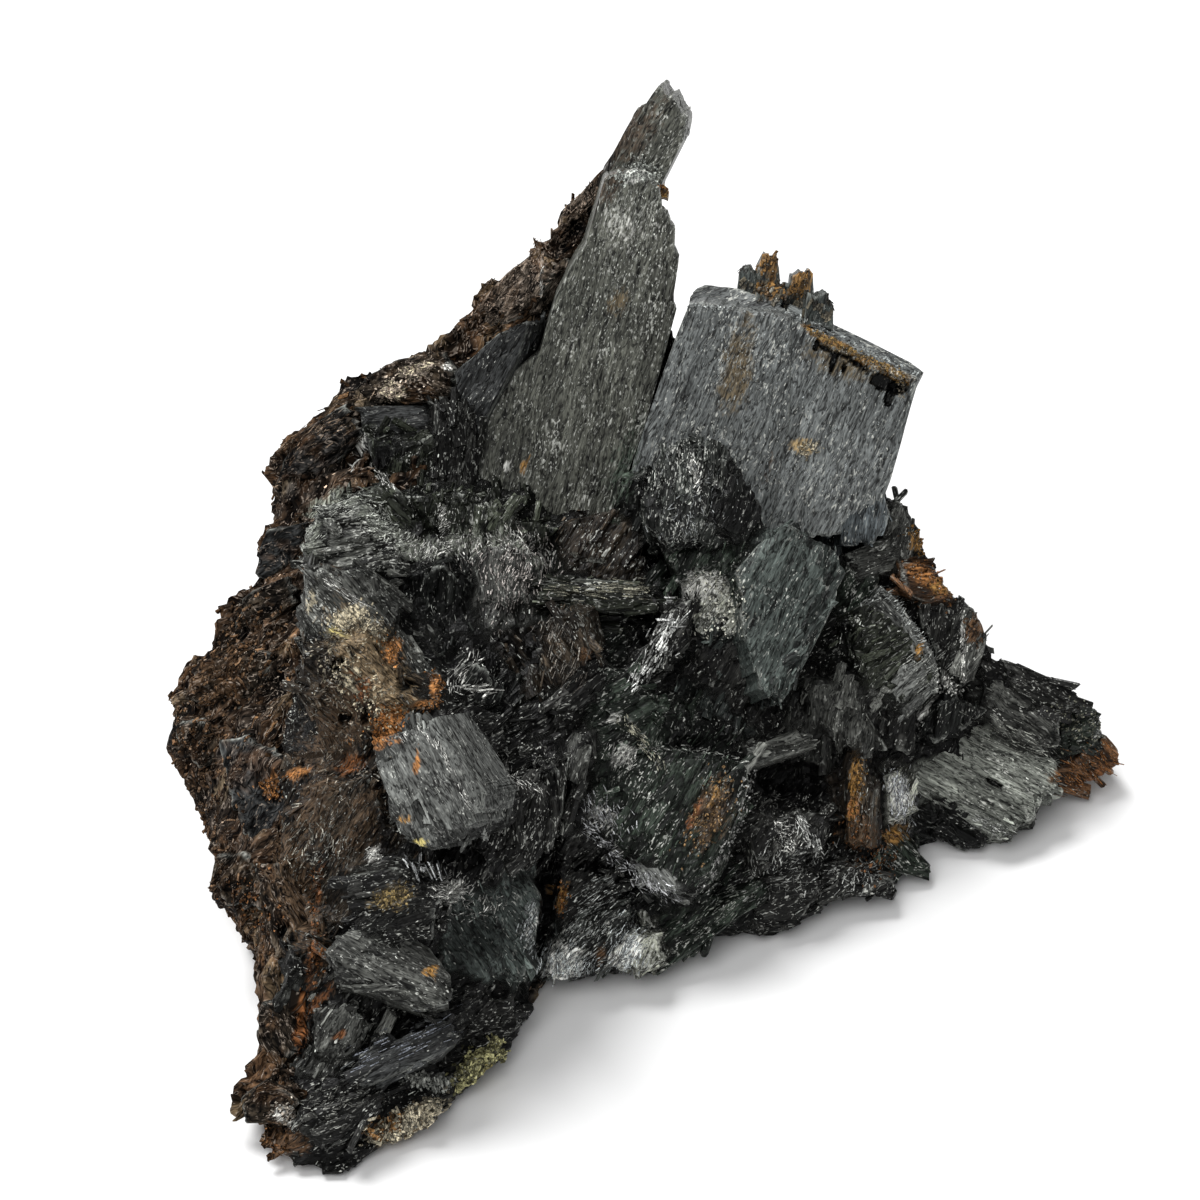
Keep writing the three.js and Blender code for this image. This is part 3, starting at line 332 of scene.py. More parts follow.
MASS_CRYSTALS = tuple(Crystal(*row) for row in (
    (Look.SLATE, 60, (-4, -18), 12, (
        (452, 372), (498, 332), (530, 318), (516, 364), (492, 392), (480, 440), (456, 424))),
    (Look.SLATE, 5, (12, -6), 12, ((352, 406), (440, 404), (444, 436), (404, 446), (366, 436))),
    (Look.OLIVE, 80, (-22, 6), 10, ((366, 440), (404, 446), (436, 438), (438, 480), (402, 492), (376, 478))),
    (Look.DARK, 85, (-8, 14), 12, ((438, 408), (478, 400), (480, 470), (462, 508), (438, 500))),
    (Look.OLIVE, -45, (6, 10), 10, ((344, 496), (388, 478), (404, 494), (444, 534), (420, 548), (376, 524))),
    (Look.OLIVE, 80, (-2, 4), 10, ((404, 496), (470, 490), (520, 520), (560, 528), (540, 552), (450, 548))),
    (Look.CRUST, 10, (10, -6), 14, (
        (306, 532), (322, 508), (352, 497), (376, 508), (398, 546), (404, 572), (366, 566), (322, 572),
        (302, 560)), (-3, -2)),
    (Look.GREY, -50, (-4, -2), 12, ((302, 566), (360, 570), (402, 604), (392, 640), (340, 652), (300, 640))),
    (Look.GREY, -55, (4, 16), 10, ((352, 600), (384, 604), (436, 672), (438, 712), (404, 706), (372, 650))),
    (Look.BROWN, -40, (-14, 4), 10, ((302, 650), (366, 640), (396, 690), (380, 736), (330, 742), (300, 700))),
    (Look.GREY, 85, (6, 6), 10, (
        (474, 566), (486, 544), (522, 540), (546, 560), (538, 596), (502, 612), (472, 600))),
    (Look.BLACK, 85, (-10, 0), 10, ((404, 578), (444, 560), (468, 582), (462, 626), (414, 620))),
    (Look.PALE, -60, (10, -8), 9, (
        (372, 757), (392, 735), (434, 714), (448, 734), (488, 796), (482, 816), (438, 854), (411, 844),
        (392, 806)), (4, -2)),
    (Look.BROWN, 60, (-12, -14), 10, ((306, 790), (366, 776), (392, 836), (350, 880), (304, 870))),
    (Look.DARK, 30, (16, 10), 10, ((412, 704), (450, 700), (506, 712), (510, 748), (470, 752), (448, 724))),
    (Look.BLACK, 55, (-8, 12), 9, ((442, 690), (470, 656), (482, 662), (506, 690), (500, 708), (452, 704))),
    (Look.DARK, 70, (-6, 2), 10, ((482, 780), (540, 776), (556, 838), (520, 870), (470, 850), (474, 820))),
    (Look.DARK, 95, (-10, -12), 9, ((538, 764), (566, 764), (560, 826), (540, 832))),
    (Look.GREY, 75, (-10, 14), 9, ((570, 760), (594, 742), (584, 800), (562, 838), (560, 826))),
    (Look.OLIVE, -2, (2, 0), 9, (
        (532, 582), (560, 577), (640, 582), (662, 602), (640, 614), (596, 612), (536, 606))),
    (Look.BROWN, -60, (-8, -14), 10, (
        (538, 628), (564, 608), (580, 618), (592, 656), (562, 682), (546, 702), (536, 680))),
    (Look.DARK, 40, (8, 10), 9, ((546, 702), (576, 670), (606, 650), (614, 672), (592, 700), (560, 724))),
    (Look.GREEN, 30, (4, 14), 9, ((596, 664), (626, 668), (650, 694), (676, 712), (640, 732), (592, 706))),
    (Look.DARK, 55, (-4, -10), 9, ((664, 606), (690, 600), (690, 640), (664, 668), (636, 680), (640, 660))),
    (Look.BROWN, 60, (14, 0), 10, ((560, 520), (620, 506), (646, 540), (632, 572), (580, 566), (548, 548))),
    (Look.FIBROUS, 85, (16, -4), 20, (
        (656, 456), (668, 444), (700, 440), (728, 444), (737, 456), (730, 486), (722, 522), (704, 540),
        (668, 546), (645, 526), (639, 502), (648, 474))),
    (Look.BLACK, 70, (0, 26), 18, (
        (728, 458), (746, 466), (750, 484), (766, 502), (768, 528), (744, 546), (718, 530))),
    (Look.BLACK, 70, (-20, -10), 10, (
        (622, 486), (646, 470), (652, 530), (680, 560), (640, 566), (610, 520))),
    (Look.GREEN, 60, (18, -10), 14, (
        (660, 548), (720, 530), (768, 540), (772, 590), (736, 580), (700, 570), (676, 584))),
    (Look.PLATE, 65, (8, 14), 14, (
        (736, 572), (764, 536), (790, 522), (836, 548), (845, 562), (838, 602), (808, 660), (784, 704),
        (760, 690), (744, 640))),
    (Look.SPARKLY, 60, (20, -4), 12, (
        (700, 571), (740, 580), (770, 600), (768, 624), (736, 634), (700, 638), (688, 622), (686, 590))),
    (Look.DARK, 60, (-14, -2), 12, (
        (686, 642), (736, 634), (772, 626), (800, 646), (784, 702), (744, 706), (712, 694), (690, 672))),
    (Look.GREY, 15, (10, 6), 6, ((744, 748), (800, 731), (814, 733), (821, 744), (804, 752), (750, 768))),
    (Look.GREEN, 60, (8, -6), 12, (
        (600, 786), (622, 744), (690, 746), (748, 760), (750, 782), (736, 820), (716, 864), (690, 884),
        (650, 868), (598, 826)), (-2, 5)),
    (Look.PALE, -50, (10, -20), 9, (
        (584, 812), (602, 800), (632, 836), (668, 870), (682, 892), (660, 894), (630, 876), (600, 842))),
    (Look.BLUE, 80, (0, 6), 14, (
        (838, 506), (848, 488), (884, 490), (892, 512), (886, 540), (862, 548), (842, 546))),
    (Look.GREY, 70, (6, 24), 10, ((886, 496), (902, 500), (916, 526), (914, 560), (896, 580), (886, 540))),
    (Look.GREY, 20, (14, 8), 9, ((846, 552), (896, 532), (904, 548), (898, 568), (856, 580))),
    (Look.RUST, 0, (0, 20), 9, ((902, 560), (936, 566), (958, 596), (930, 604), (900, 590))),
    (Look.GREEN, 60, (-6, -18), 10, ((846, 562), (878, 576), (872, 600), (850, 622), (836, 610))),
    (Look.OLIVE, 40, (14, 22), 14, (
        (862, 604), (878, 596), (898, 594), (926, 640), (940, 664), (938, 690), (906, 714), (890, 700),
        (870, 690), (864, 650)), (-4, 3)),
    (Look.DARK, 80, (-4, 10), 12, ((918, 600), (960, 602), (963, 680), (946, 692), (940, 664), (922, 630))),
    (Look.GREY, 60, (4, 26), 12, ((962, 600), (980, 610), (990, 640), (978, 680), (964, 690))),
    (Look.GREY, 80, (-6, -4), 12, ((800, 676), (844, 680), (868, 716), (888, 752), (856, 758), (812, 726))),
    (Look.DARK, 70, (-10, 6), 10, ((884, 706), (918, 708), (916, 760), (888, 752))),
    (Look.BLACK, 80, (10, 4), 10, ((920, 704), (958, 692), (990, 708), (966, 730), (936, 748), (914, 736))),
    (Look.DARK, -25, (16, 12), 12, (
        (1000, 656), (1046, 674), (1074, 684), (1084, 704), (1054, 712), (1010, 684))),
    (Look.GREY, -35, (12, 6), 10, (
        (986, 672), (1012, 676), (1060, 712), (1062, 742), (1044, 752), (1000, 728), (982, 704))),
    (Look.PALE, -52, (14, 18), 8, (
        (872, 590), (882, 584), (896, 596), (914, 620), (930, 644), (941, 668), (940, 692), (930, 690),
        (922, 668), (908, 644), (892, 620))),
    (Look.PALE, 42, (6, 22), 8, (
        (893, 702), (884, 690), (904, 664), (924, 658), (936, 664), (938, 690), (922, 706), (906, 714))),
    (Look.FAN, -28, (16, 2), 10, (
        (950, 736), (976, 722), (1012, 730), (1046, 750), (1061, 764), (1060, 790), (1042, 800),
        (1040, 820), (1020, 824), (1015, 838), (994, 836), (960, 816), (918, 794), (904, 770),
        (924, 746))),
    (Look.GREEN, 10, (4, 22), 8, (
        (1062, 722), (1086, 704), (1103, 708), (1104, 734), (1090, 752), (1062, 758))),
    (Look.RUST, -35, (-4, 20), 7, (
        (1060, 762), (1094, 750), (1108, 735), (1121, 750), (1119, 768), (1098, 780), (1080, 792),
        (1062, 786))),
    (Look.BLACK, -30, (-16, 4), 8, ((936, 804), (968, 812), (990, 832), (986, 848), (966, 856), (950, 848))),
    (Look.SPARKLY, 60, (4, 8), 10, ((884, 776), (900, 768), (909, 786), (915, 806), (904, 822), (888, 816))),
    (Look.BROWN, 80, (0, -14), 10, ((846, 762), (862, 754), (874, 790), (870, 850), (848, 846), (842, 800))),
    (Look.GREEN, -40, (0, 14), 7, ((886, 826), (904, 836), (936, 868), (928, 880), (900, 874), (872, 868))),
    (Look.DARK, 30, (-10, 8), 9, ((806, 872), (846, 860), (896, 880), (900, 894), (840, 902), (812, 910))),
    (Look.DARK, 60, (10, -4), 10, ((736, 828), (800, 806), (832, 812), (820, 850), (752, 866))),
    (Look.DARK, 10, (-12, -6), 9, ((740, 872), (790, 856), (822, 884), (808, 914), (786, 934), (748, 938))),
    (Look.GREEN, 40, (10, 12), 10, (
        (640, 962), (662, 926), (706, 902), (764, 878), (770, 900), (726, 926), (692, 954), (660, 974))),
    (Look.SPARKLY, 60, (0, -10), 9, ((612, 962), (630, 928), (656, 932), (662, 960), (640, 976), (618, 972))),
    (Look.FIBROUS, 40, (4, -12), 10, (
        (541, 968), (556, 926), (600, 896), (632, 904), (610, 960), (598, 974), (556, 980))),
    (Look.DARK, 45, (-4, -10), 10, ((556, 840), (600, 848), (640, 884), (600, 898), (552, 920))),
    (Look.PLATE, -55, (6, 10), 10, ((452, 880), (520, 862), (546, 900), (536, 968), (516, 996), (484, 940))),
    (Look.GREY, -25, (14, 2), 6, (
        (322, 950), (332, 934), (362, 926), (400, 930), (434, 948), (452, 974), (450, 1004), (424, 1012),
        (380, 994), (340, 984))),
    (Look.DARK, 20, (-10, -8), 10, ((344, 880), (396, 868), (440, 900), (430, 944), (360, 936))),
    (Look.SLATE, 25, (12, 2), 8, (
        (350, 1076), (360, 1054), (450, 1018), (466, 1034), (440, 1056), (400, 1074), (356, 1092))),
    (Look.DARK, 15, (4, 16), 9, (
        (456, 1022), (462, 1002), (516, 998), (522, 1026), (512, 1050), (476, 1056))),
    (Look.DARK, 20, (6, -4), 9, (
        (298, 1100), (350, 1084), (376, 1094), (362, 1132), (322, 1152), (296, 1132))),
    (Look.GREY, 60, (0, -6), 8, ((310, 1010), (346, 1000), (372, 1024), (350, 1060), (314, 1056))),
))

ROCK_BLOCKS = tuple(Crystal(*row) for row in (
    (Look.BROWN, -10, (4, -24), 14, (
        (346, 384), (392, 356), (440, 350), (458, 372), (452, 398), (400, 404), (352, 402))),
    (Look.LAYERED, 30, (-6, -20), 12, (
        (286, 440), (340, 404), (364, 430), (330, 470), (290, 498), (270, 486))),
    (Look.SPECKLED, 60, (12, -30), 12, (
        (484, 286), (536, 244), (556, 262), (530, 310), (486, 330), (468, 322))),
    (Look.SPECKLED, 55, (8, -30), 10, (
        (546, 246), (560, 212), (604, 166), (608, 190), (592, 212), (566, 218), (558, 248))),
    (Look.STRIPED, 80, (-6, -34), 12, (
        (530, 252), (548, 244), (566, 262), (558, 300), (548, 350), (524, 364), (518, 330))),
    (Look.SLATE, 38, (-8, -26), 12, ((254, 556), (264, 530), (302, 522), (308, 546), (268, 582), (252, 580))),
    (Look.BROWN, 30, (-4, -22), 12, ((236, 600), (250, 590), (286, 576), (300, 600), (262, 628), (230, 630))),
    (Look.BROWN, 20, (8, -24), 14, ((188, 668), (236, 640), (276, 652), (262, 700), (214, 716), (180, 700))),
    (Look.BROWN, 60, (-10, -24), 12, ((172, 722), (206, 716), (222, 744), (200, 774), (176, 756))),
    (Look.SLATE, 60, (4, -16), 16, (
        (216, 740), (250, 732), (292, 756), (302, 812), (284, 850), (246, 848), (226, 796))),
    (Look.BROWN, 60, (-6, -26), 12, ((212, 856), (244, 848), (268, 880), (262, 914), (226, 908), (208, 890))),
    (Look.STRIPED, -65, (6, -30), 10, (
        (244, 860), (272, 856), (304, 930), (312, 986), (290, 990), (262, 930))),
    (Look.BROWN, -60, (2, -24), 10, ((256, 1000), (296, 992), (308, 1040), (280, 1076), (246, 1068))),
    (Look.BROWN, 20, (-8, -20), 8, ((234, 1100), (266, 1080), (300, 1100), (290, 1130), (240, 1126))),
))

TALL_CRYSTALS = tuple(Crystal(*row) for row in (
    (Look.TALL, 75, (-10, 2), 13, (
        (604, 177), (622, 167), (646, 168), (661, 183), (664, 204), (676, 226), (675, 243), (681, 251),
        (674, 296), (678, 304), (664, 352), (655, 395), (640, 440), (622, 490), (604, 530), (540, 548),
        (478, 540), (474, 470), (487, 405), (500, 372), (522, 362), (546, 345), (556, 295), (575, 258),
        (592, 232))),
    (Look.TALL, 62, (-14, -8), 10, (
        (653, 92), (660, 83), (674, 95), (688, 118), (685, 140), (662, 182), (648, 240), (596, 250),
        (600, 190), (622, 148), (640, 112))),
    (Look.STRIPED, 75, (-10, -36), 8, (
        (630, 106), (650, 99), (646, 130), (622, 170), (606, 210), (584, 220), (587, 178), (612, 143))),
))

BLOCK_CRYSTALS = tuple(Crystal(*row) for row in (
    (Look.BLOCK, 68, (-10, -7), 20, (
        (688, 302), (704, 301), (792, 317), (790, 420), (768, 540), (660, 530), (630, 470), (655, 395))),
    (Look.BLOCK, 68, (-10, 7), 22, (
        (791, 317), (856, 346), (920, 378), (888, 492), (868, 536), (766, 540), (776, 420))),
    (Look.BLOCK, 20, (26, -3), 16, (
        (688, 303), (691, 291), (706, 283), (738, 287), (782, 300), (796, 318), (760, 330), (700, 320))),
    (Look.BLOCK, -20, (26, 10), 16, (
        (782, 317), (784, 300), (850, 332), (914, 363), (926, 372), (921, 380), (900, 385), (840, 358))),
    (Look.PLATE, 75, (-8, 0), 7, ((753, 310), (757, 272), (766, 251), (777, 253), (781, 276), (779, 310))),
    (Look.PLATE, 62, (-8, -6), 6, ((733, 308), (739, 270), (747, 265), (757, 272), (764, 310))),
    (Look.PLATE, 80, (8, 0), 6, ((752, 318), (756, 288), (770, 282), (786, 286), (790, 320))),
    (Look.PLATE, 75, (-8, 0), 7, ((784, 322), (791, 276), (801, 266), (814, 271), (815, 296), (810, 326))),
    (Look.PLATE, 85, (-8, 6), 5, ((776, 312), (779, 284), (788, 280), (796, 290), (794, 316))),
    (Look.PLATE, 75, (-8, 6), 5, ((803, 330), (808, 292), (818, 294), (827, 289), (835, 302), (834, 334))),
    (Look.AMBER, 70, (0, 0), 5, ((656, 198), (657, 186), (663, 182), (669, 187), (668, 198))),
))


# Crystals as surfaces


@dataclass(frozen=True)
class Seat:
    """Where a crystal sits.

    origin is a point of its face; across, along and out are the directions across its grain, along it and
    out of its face; corners is the outline in across and along; drift is how far its back moves for each
    unit of depth.
    """

    crystal: Crystal
    origin: Array
    across: Array
    along: Array
    out: Array
    corners: Array
    drift: Array

    def place(self, s: Array, t: Array, rise: Array) -> Array:
        """The points at s across the grain, t along it and rise above the face."""
        parts = (s[..., None] * self.across, t[..., None] * self.along, rise[..., None] * self.out)
        return self.origin + sum(parts)

    def local(self, points: Array) -> Array:
        """Points in across, along and out."""
        return (points - self.origin) @ np.stack((self.across, self.along, self.out), 1)


def seat_of(crystal: Crystal, carrier: Carrier) -> Seat:
    """Finds a crystal's face on the solids.

    The face's direction is known from the crystal's turn. Its place is the commonest one among the points of
    the solids with that direction which are seen inside the outline.

    Args:
        crystal: the crystal.
        carrier: the solids.

    Returns:
        Its seat.
    """
    up, right = np.tan(np.radians(crystal.turn))
    out = unit(SIGHT.towards + SIGHT.up * up + SIGHT.right * right)
    corners = np.array(crystal.outline, float)
    middle = corners.mean(0)
    places, others = [], []
    for share in (0, 0.2, 0.4, 0.6, 0.8, 0.93):
        for corner in corners:
            found = carrier.hit(*(middle + (corner - middle) * share))
            if found is not None:
                (places if found[1] @ out > 0.998 else others).append(found[0] @ out)
    reach = np.array(places or [np.median(others)])
    counts = [(np.abs(reach - one) < 0.15).sum() for one in reach]
    level = reach[int(np.argmax(counts))]

    def on_face(x: float, y: float) -> Array:
        """The point of the face seen at x, y."""
        ray = SIGHT.ray(x, y)
        return SIGHT.eye + ray * (level - SIGHT.eye @ out) / (ray @ out)

    origin = on_face(*middle)
    turn = np.radians(crystal.grain)
    along = unit(on_face(middle[0] + 20 * np.cos(turn), middle[1] - 20 * np.sin(turn)) - origin)
    across = np.cross(along, out)
    shape = np.array([on_face(x, y) for x, y in crystal.outline]) - origin
    level_across = unit(SIGHT.right - out * (SIGHT.right @ out))
    level_along = np.cross(out, level_across)
    drift = (crystal.slant[0] * level_across - crystal.slant[1] * level_along) / crystal.thick
    if not places:
        log.info("a %s crystal at %s has no face of its own", crystal.look.name, middle.round())
    return Seat(crystal, origin, across, along, out, np.stack((shape @ across, shape @ along), 1), drift)


@dataclass(frozen=True)
class Fineness:
    """Sizes of a crystal's mesh and of its broken layers.

    pitch and step are the mesh's spacings across and along the grain, splinter and segment a splinter's
    width and length, depth how far their levels differ, and lift how far the face stands out. inset and
    frayed are the shares that the face's sides and ends leave free. rings are shares of the thickness.
    """

    pitch: float = 0.38
    step: float = 0.62
    splinter: float = 1.5
    segment: float = 6.0
    depth: float = 0.75
    lift: float = 0.15
    inset: float = 0.01
    frayed: float = 0.14
    rings: tuple[float, ...] = (0.1, 0.35, 0.7, 1.0)


@dataclass
class Parts:
    """Meshes gathered into one piece, each point with its tint, its stain with the painted shade, and its
    place along the grain.
    """

    points: list[Array] = field(default_factory=list)
    triangles: list[Array] = field(default_factory=list)
    grain: list[Array] = field(default_factory=list)
    tint: list[Array] = field(default_factory=list)
    stain_and_shade: list[Array] = field(default_factory=list)
    count: int = 0

    def add(self, points: Array, triangles: Array, grain: Array, tint: Array, stain_and_shade: Array) -> None:
        """Adds a mesh.

        Args:
            points: n by 3 points.
            triangles: m by 3 triangles.
            grain: n by 3 places across and along the grain.
            tint: n by 4, a colour and the share of white flecks.
            stain_and_shade: n by 4, the colour of a stain, black where shade is painted, and how strongly it
                covers.
        """
        self.triangles.append(triangles + self.count)
        self.points.append(np.maximum(points, (-np.inf, -np.inf, 0)))
        self.grain.append(grain)
        self.tint.append(tint)
        self.stain_and_shade.append(stain_and_shade)
        self.count += len(points)

    def surface(self) -> Surface:
        """All that was added, as one surface."""
        return Surface(np.concatenate(self.points), np.concatenate(self.triangles))

    def piece(self, name: str, material: bpy.types.Material, node: str) -> Surface:
        """Makes one object of all that was added, which rides on the specimen.

        Args:
            name: the piece's name.
            material: its material.
            node: the solid that it stands for.

        Returns:
            Its surface.
        """
        surface = self.surface()
        points, triangles = surface.points, surface.triangles
        mesh = bpy.data.meshes.new(name)
        mesh.vertices.add(len(points))
        mesh.vertices.foreach_set("co", (points * MM).ravel())
        mesh.loops.add(triangles.size)
        mesh.loops.foreach_set("vertex_index", triangles.ravel())
        mesh.polygons.add(len(triangles))
        mesh.polygons.foreach_set("loop_start", np.arange(0, triangles.size, 3))
        grain = mesh.attributes.new("grain", "FLOAT_VECTOR", "POINT")
        grain.data.foreach_set("vector", np.concatenate(self.grain).ravel())
        for label, values in (("tint", self.tint), ("stain_and_shade", self.stain_and_shade)):
            layer = mesh.attributes.new(label, "FLOAT_COLOR", "POINT")
            layer.data.foreach_set("color", np.concatenate(values).ravel())
        mesh.materials.append(material)
        mesh.update(calc_edges=True)
        mesh.shade_flat()
        piece = bpy.data.objects.new(name, mesh)
        bpy.context.scene.collection.objects.link(piece)
        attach(piece, "root")
        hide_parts(node)
        log.info("%s: %d triangles", name, len(triangles))
        return surface


def grid_triangles(columns: int, rows: int) -> Array:
    """Triangles of a grid whose point (i, j) has number i * rows + j, facing out of i crossed with j."""
    i, j = np.meshgrid(np.arange(columns - 1), np.arange(rows - 1), indexing="ij")
    a = (i * rows + j).ravel()
    b, c, d = a + rows, a + rows + 1, a + 1
    return np.concatenate((np.stack((a, b, c), 1), np.stack((a, c, d), 1)))


def rim_of(columns: int, rows: int) -> Array:
    """The numbers of a grid's outer points in order, anticlockwise as seen from its front."""
    bottom = np.arange(columns) * rows
    right = (columns - 1) * rows + np.arange(1, rows)
    top = np.arange(columns - 2, -1, -1) * rows + rows - 1
    left = np.arange(rows - 2, 0, -1)
    return np.concatenate((bottom, right, top, left))


def spans(corners: Array, s: Array) -> tuple[Array, Array]:
    """Where lines along the grain enter and leave an outline.

    Args:
        corners: the outline, n by 2, across and along.
        s: the lines' places across the grain, all inside the outline.

    Returns:
        The lowest and the highest crossing of each line.
    """
    low = np.full(len(s), np.inf)
    high = np.full(len(s), -np.inf)
    for a, b in zip(corners, np.roll(corners, -1, axis=0)):
        run = b[0] - a[0]
        share = (s - a[0]) / (run if abs(run) > 1e-9 else 1e-9)
        crossing = a[1] + share * (b[1] - a[1])
        inside = (share >= 0) & (share <= 1)
        low = np.where(inside, np.minimum(low, crossing), low)
        high = np.where(inside, np.maximum(high, crossing), high)
    return low, high


# Each crystal has a seed of its own, and its place along the grain starts far from the others'.
SEED_STEP = 1.37
GRAIN_APART = 50


def crystal_shell(seat: Seat, size: Fineness, seed: float) -> tuple[Array, Array, Array, Array, Array]:
    """A crystal's prism with lines along its grain, steps where splinters broke away and ragged ends.

    The face is a grid: columns run along the grain, from where each enters the outline to where it leaves,
    less a scattered length for each splinter. Its height is a scattered level for each splinter and each
    length of it, plus noise stretched along the grain, less a round at the edges. The face's rim goes down
    the sides in rings, and the last ring closes on one point.

    Args:
        seat: where the crystal sits.
        size: the sizes of the mesh and of the steps.
        seed: a number of the crystal's own.

    Returns:
        Points, triangles, grain places, the painted brightness of each broken facet and how near each point is
        to an edge. The brightness is a painted reflection for each splinter and length, painted light on the
        right slope and painted shade on the left slope and on the sides.
    """
    finish = seat.crystal.look.value
    left, right = seat.corners[:, 0].min(), seat.corners[:, 0].max()
    wide, tall = right - left, np.ptp(seat.corners[:, 1])
    columns, rows = max(6, int(wide / size.pitch)), max(5, int(tall / size.step))
    s = np.linspace(left + wide * size.inset, right - wide * size.inset, columns)
    low, high = spans(seat.corners, s)
    bundle = np.floor(s / size.splinter + 0.35 * scatter(np.floor(s / 3.1), seed + 3))
    reach = np.minimum(finish.ragged, size.frayed * np.maximum(high - low, 0.2))
    low = low + reach * scatter(bundle, seed) + 0.25 * reach * scatter(np.arange(columns), seed + 1)
    high = high - reach * scatter(bundle, seed + 2) - 0.25 * reach * scatter(np.arange(columns), seed + 4)
    t = low[:, None] + (high - low)[:, None] * np.linspace(0, 1, rows)
    s = np.broadcast_to(s[:, None], t.shape)
    bundle = np.broadcast_to(bundle[:, None], t.shape)
    part = np.floor(t / size.segment + 5 * scatter(bundle, seed + 5))
    flat = np.stack((s.ravel(), t.ravel() * 0.16, np.full(s.size, seed)), 1)
    lines = noise(flat, 1.1, seed) * 0.30 + noise(flat, 0.5, seed + 7) * 0.16
    rise = size.depth * (scatter(bundle, part, seed + 6) - 0.6) + lines.reshape(s.shape)
    rise = rise * finish.rough + (scatter(seed + 8) - 0.5) * 0.06 * s
    edge = np.minimum(s - left, right - s)
    ends = np.minimum(t - low[:, None], high[:, None] - t)
    shape = scatter(seed + np.arange(6) * 3.3)
    fall_left = (0.25 + 0.6 * shape[0]) * np.maximum(0, left + wide * (0.05 + 0.22 * shape[1]) - s)
    fall_right = (0.35 + 0.7 * shape[2]) * np.maximum(0, s - right + wide * (0.12 + 0.25 * shape[3]))
    fall_ends = (0.3 + 0.5 * shape[4]) * np.maximum(0, tall * (0.05 + 0.15 * shape[5]) - ends)
    rise = rise - finish.facets * np.minimum(fall_left + fall_right + fall_ends, 2.5)
    rise = rise - 0.4 * np.clip(1 - edge / 0.5, 0, 1) ** 2
    rise = rise - 0.35 * np.clip(1 - ends / 0.6, 0, 1) ** 2 + size.lift
    # Painted reflection: a scattered brightness for each splinter and length; then painted light on the right
    # slope and painted shade on the left.
    painted_facet_light = 1 + finish.rough * (1.7 * scatter(bundle, part, seed + 9) ** 2.5 - 0.6)
    painted_facet_light = painted_facet_light * np.where(fall_right > 0, 1 + 0.5 * finish.facets, 1)
    painted_facet_light = painted_facet_light * np.where(fall_left > 0, 1 - 0.3 * finish.facets, 1)
    border = np.exp(-((np.minimum(edge, ends) / 0.5) ** 2))
    face = seat.place(s, t, rise).reshape(-1, 3)
    sides, walls = crystal_sides(face, rim_of(columns, rows), seat, size, seed)
    points = np.concatenate((face, sides))
    triangles = np.concatenate((grid_triangles(columns, rows), walls))
    # Painted shade: the sides are darker.
    painted_facet_light = np.concatenate((painted_facet_light.ravel(), np.full(len(sides), 0.8)))
    border = np.concatenate((border.ravel(), np.zeros(len(sides))))
    return points, triangles, seat.local(points) + GRAIN_APART * seed, painted_facet_light, border


def crystal_sides(face: Array, rim: Array, seat: Seat, size: Fineness, seed: float) -> tuple[Array, Array]:
    """The rings down a crystal's sides and the point that closes the last one.

    A ring is the face's rim moved back by its depth and drift, and a little in or out for each three points.

    Args:
        face: the face's points.
        rim: the numbers of its outer points in order.
        seat: where the crystal sits.
        size: has the rings' depths.
        seed: the crystal's own.

    Returns:
        Points, and triangles whose numbers go on from the face's.
    """
    outward = unit(face[rim] - face.mean(0))
    places = np.arange(len(rim))
    rings, triangles = [], []
    previous, count = rim, len(face)
    for level in size.rings:
        depth = level * seat.crystal.thick
        wall = face[rim] - seat.out * depth + seat.drift * depth
        bulge = 0.5 * (scatter(np.floor(places / 3), level, seed) - 0.5) * min(1, 4 * level)
        rings.append(wall + outward * bulge[:, None])
        ring = count + places
        after, before = np.roll(ring, -1), np.roll(previous, -1)
        triangles.append(np.stack((previous, ring, after), 1))
        triangles.append(np.stack((previous, after, before), 1))
        previous = ring
        count += len(rim)
    rings.append(rings[-1].mean(0, keepdims=True))
    triangles.append(np.stack((previous, np.full(len(rim), count), np.roll(previous, -1)), 1))
    return np.concatenate(rings), np.concatenate(triangles)


BOX_FACES = (
    (0, 1, 3), (0, 3, 2), (4, 6, 7), (4, 7, 5), (0, 4, 5), (0, 5, 1),
    (2, 3, 7), (2, 7, 6), (0, 2, 6), (0, 6, 4), (1, 5, 7), (1, 7, 3),
)


@dataclass(frozen=True)
class Places:
    """Where small shapes lie: n by 3 middles, directions, ways that their tops face, and half sizes."""

    middles: Array
    long: Array
    out: Array
    sizes: Array

    def set_down(self, shapes: Array, faces: Array) -> tuple[Array, Array]:
        """Sets each shape down at its middle, turned to lie along its own directions.

        Args:
            shapes: n by k by 3, each shape's points across, along and out.
            faces: m by 3, the triangles of one shape.

        Returns:
            All their points and triangles.
        """
        across = unit(np.cross(self.long, self.out))
        axes = (across, self.long, np.cross(across, self.long))
        points = self.middles[:, None] + sum(shapes[..., i, None] * axes[i][:, None] for i in range(3))
        triangles = faces[None] + shapes.shape[1] * np.arange(len(shapes))[:, None, None]
        return points.reshape(-1, 3), triangles.reshape(-1, 3)


def box_shells(places: Places, seed: float) -> tuple[Array, Array]:
    """The points and triangles of small four-sided splinters with slanted ends."""
    count = len(places.middles)
    corners = np.array(list(itertools.product((-1, 1), repeat=3)), float)
    number, corner = np.arange(count)[:, None], np.arange(8)
    shapes = np.broadcast_to(corners, (count, 8, 3)).copy()
    shapes[:, :, 1] *= 1 - 0.45 * scatter(number, corner, seed)
    shapes[:, :, 0] *= 1 - 0.5 * scatter(number, corner, seed + 1)
    return places.set_down(shapes * places.sizes[:, None, :], np.array(BOX_FACES))


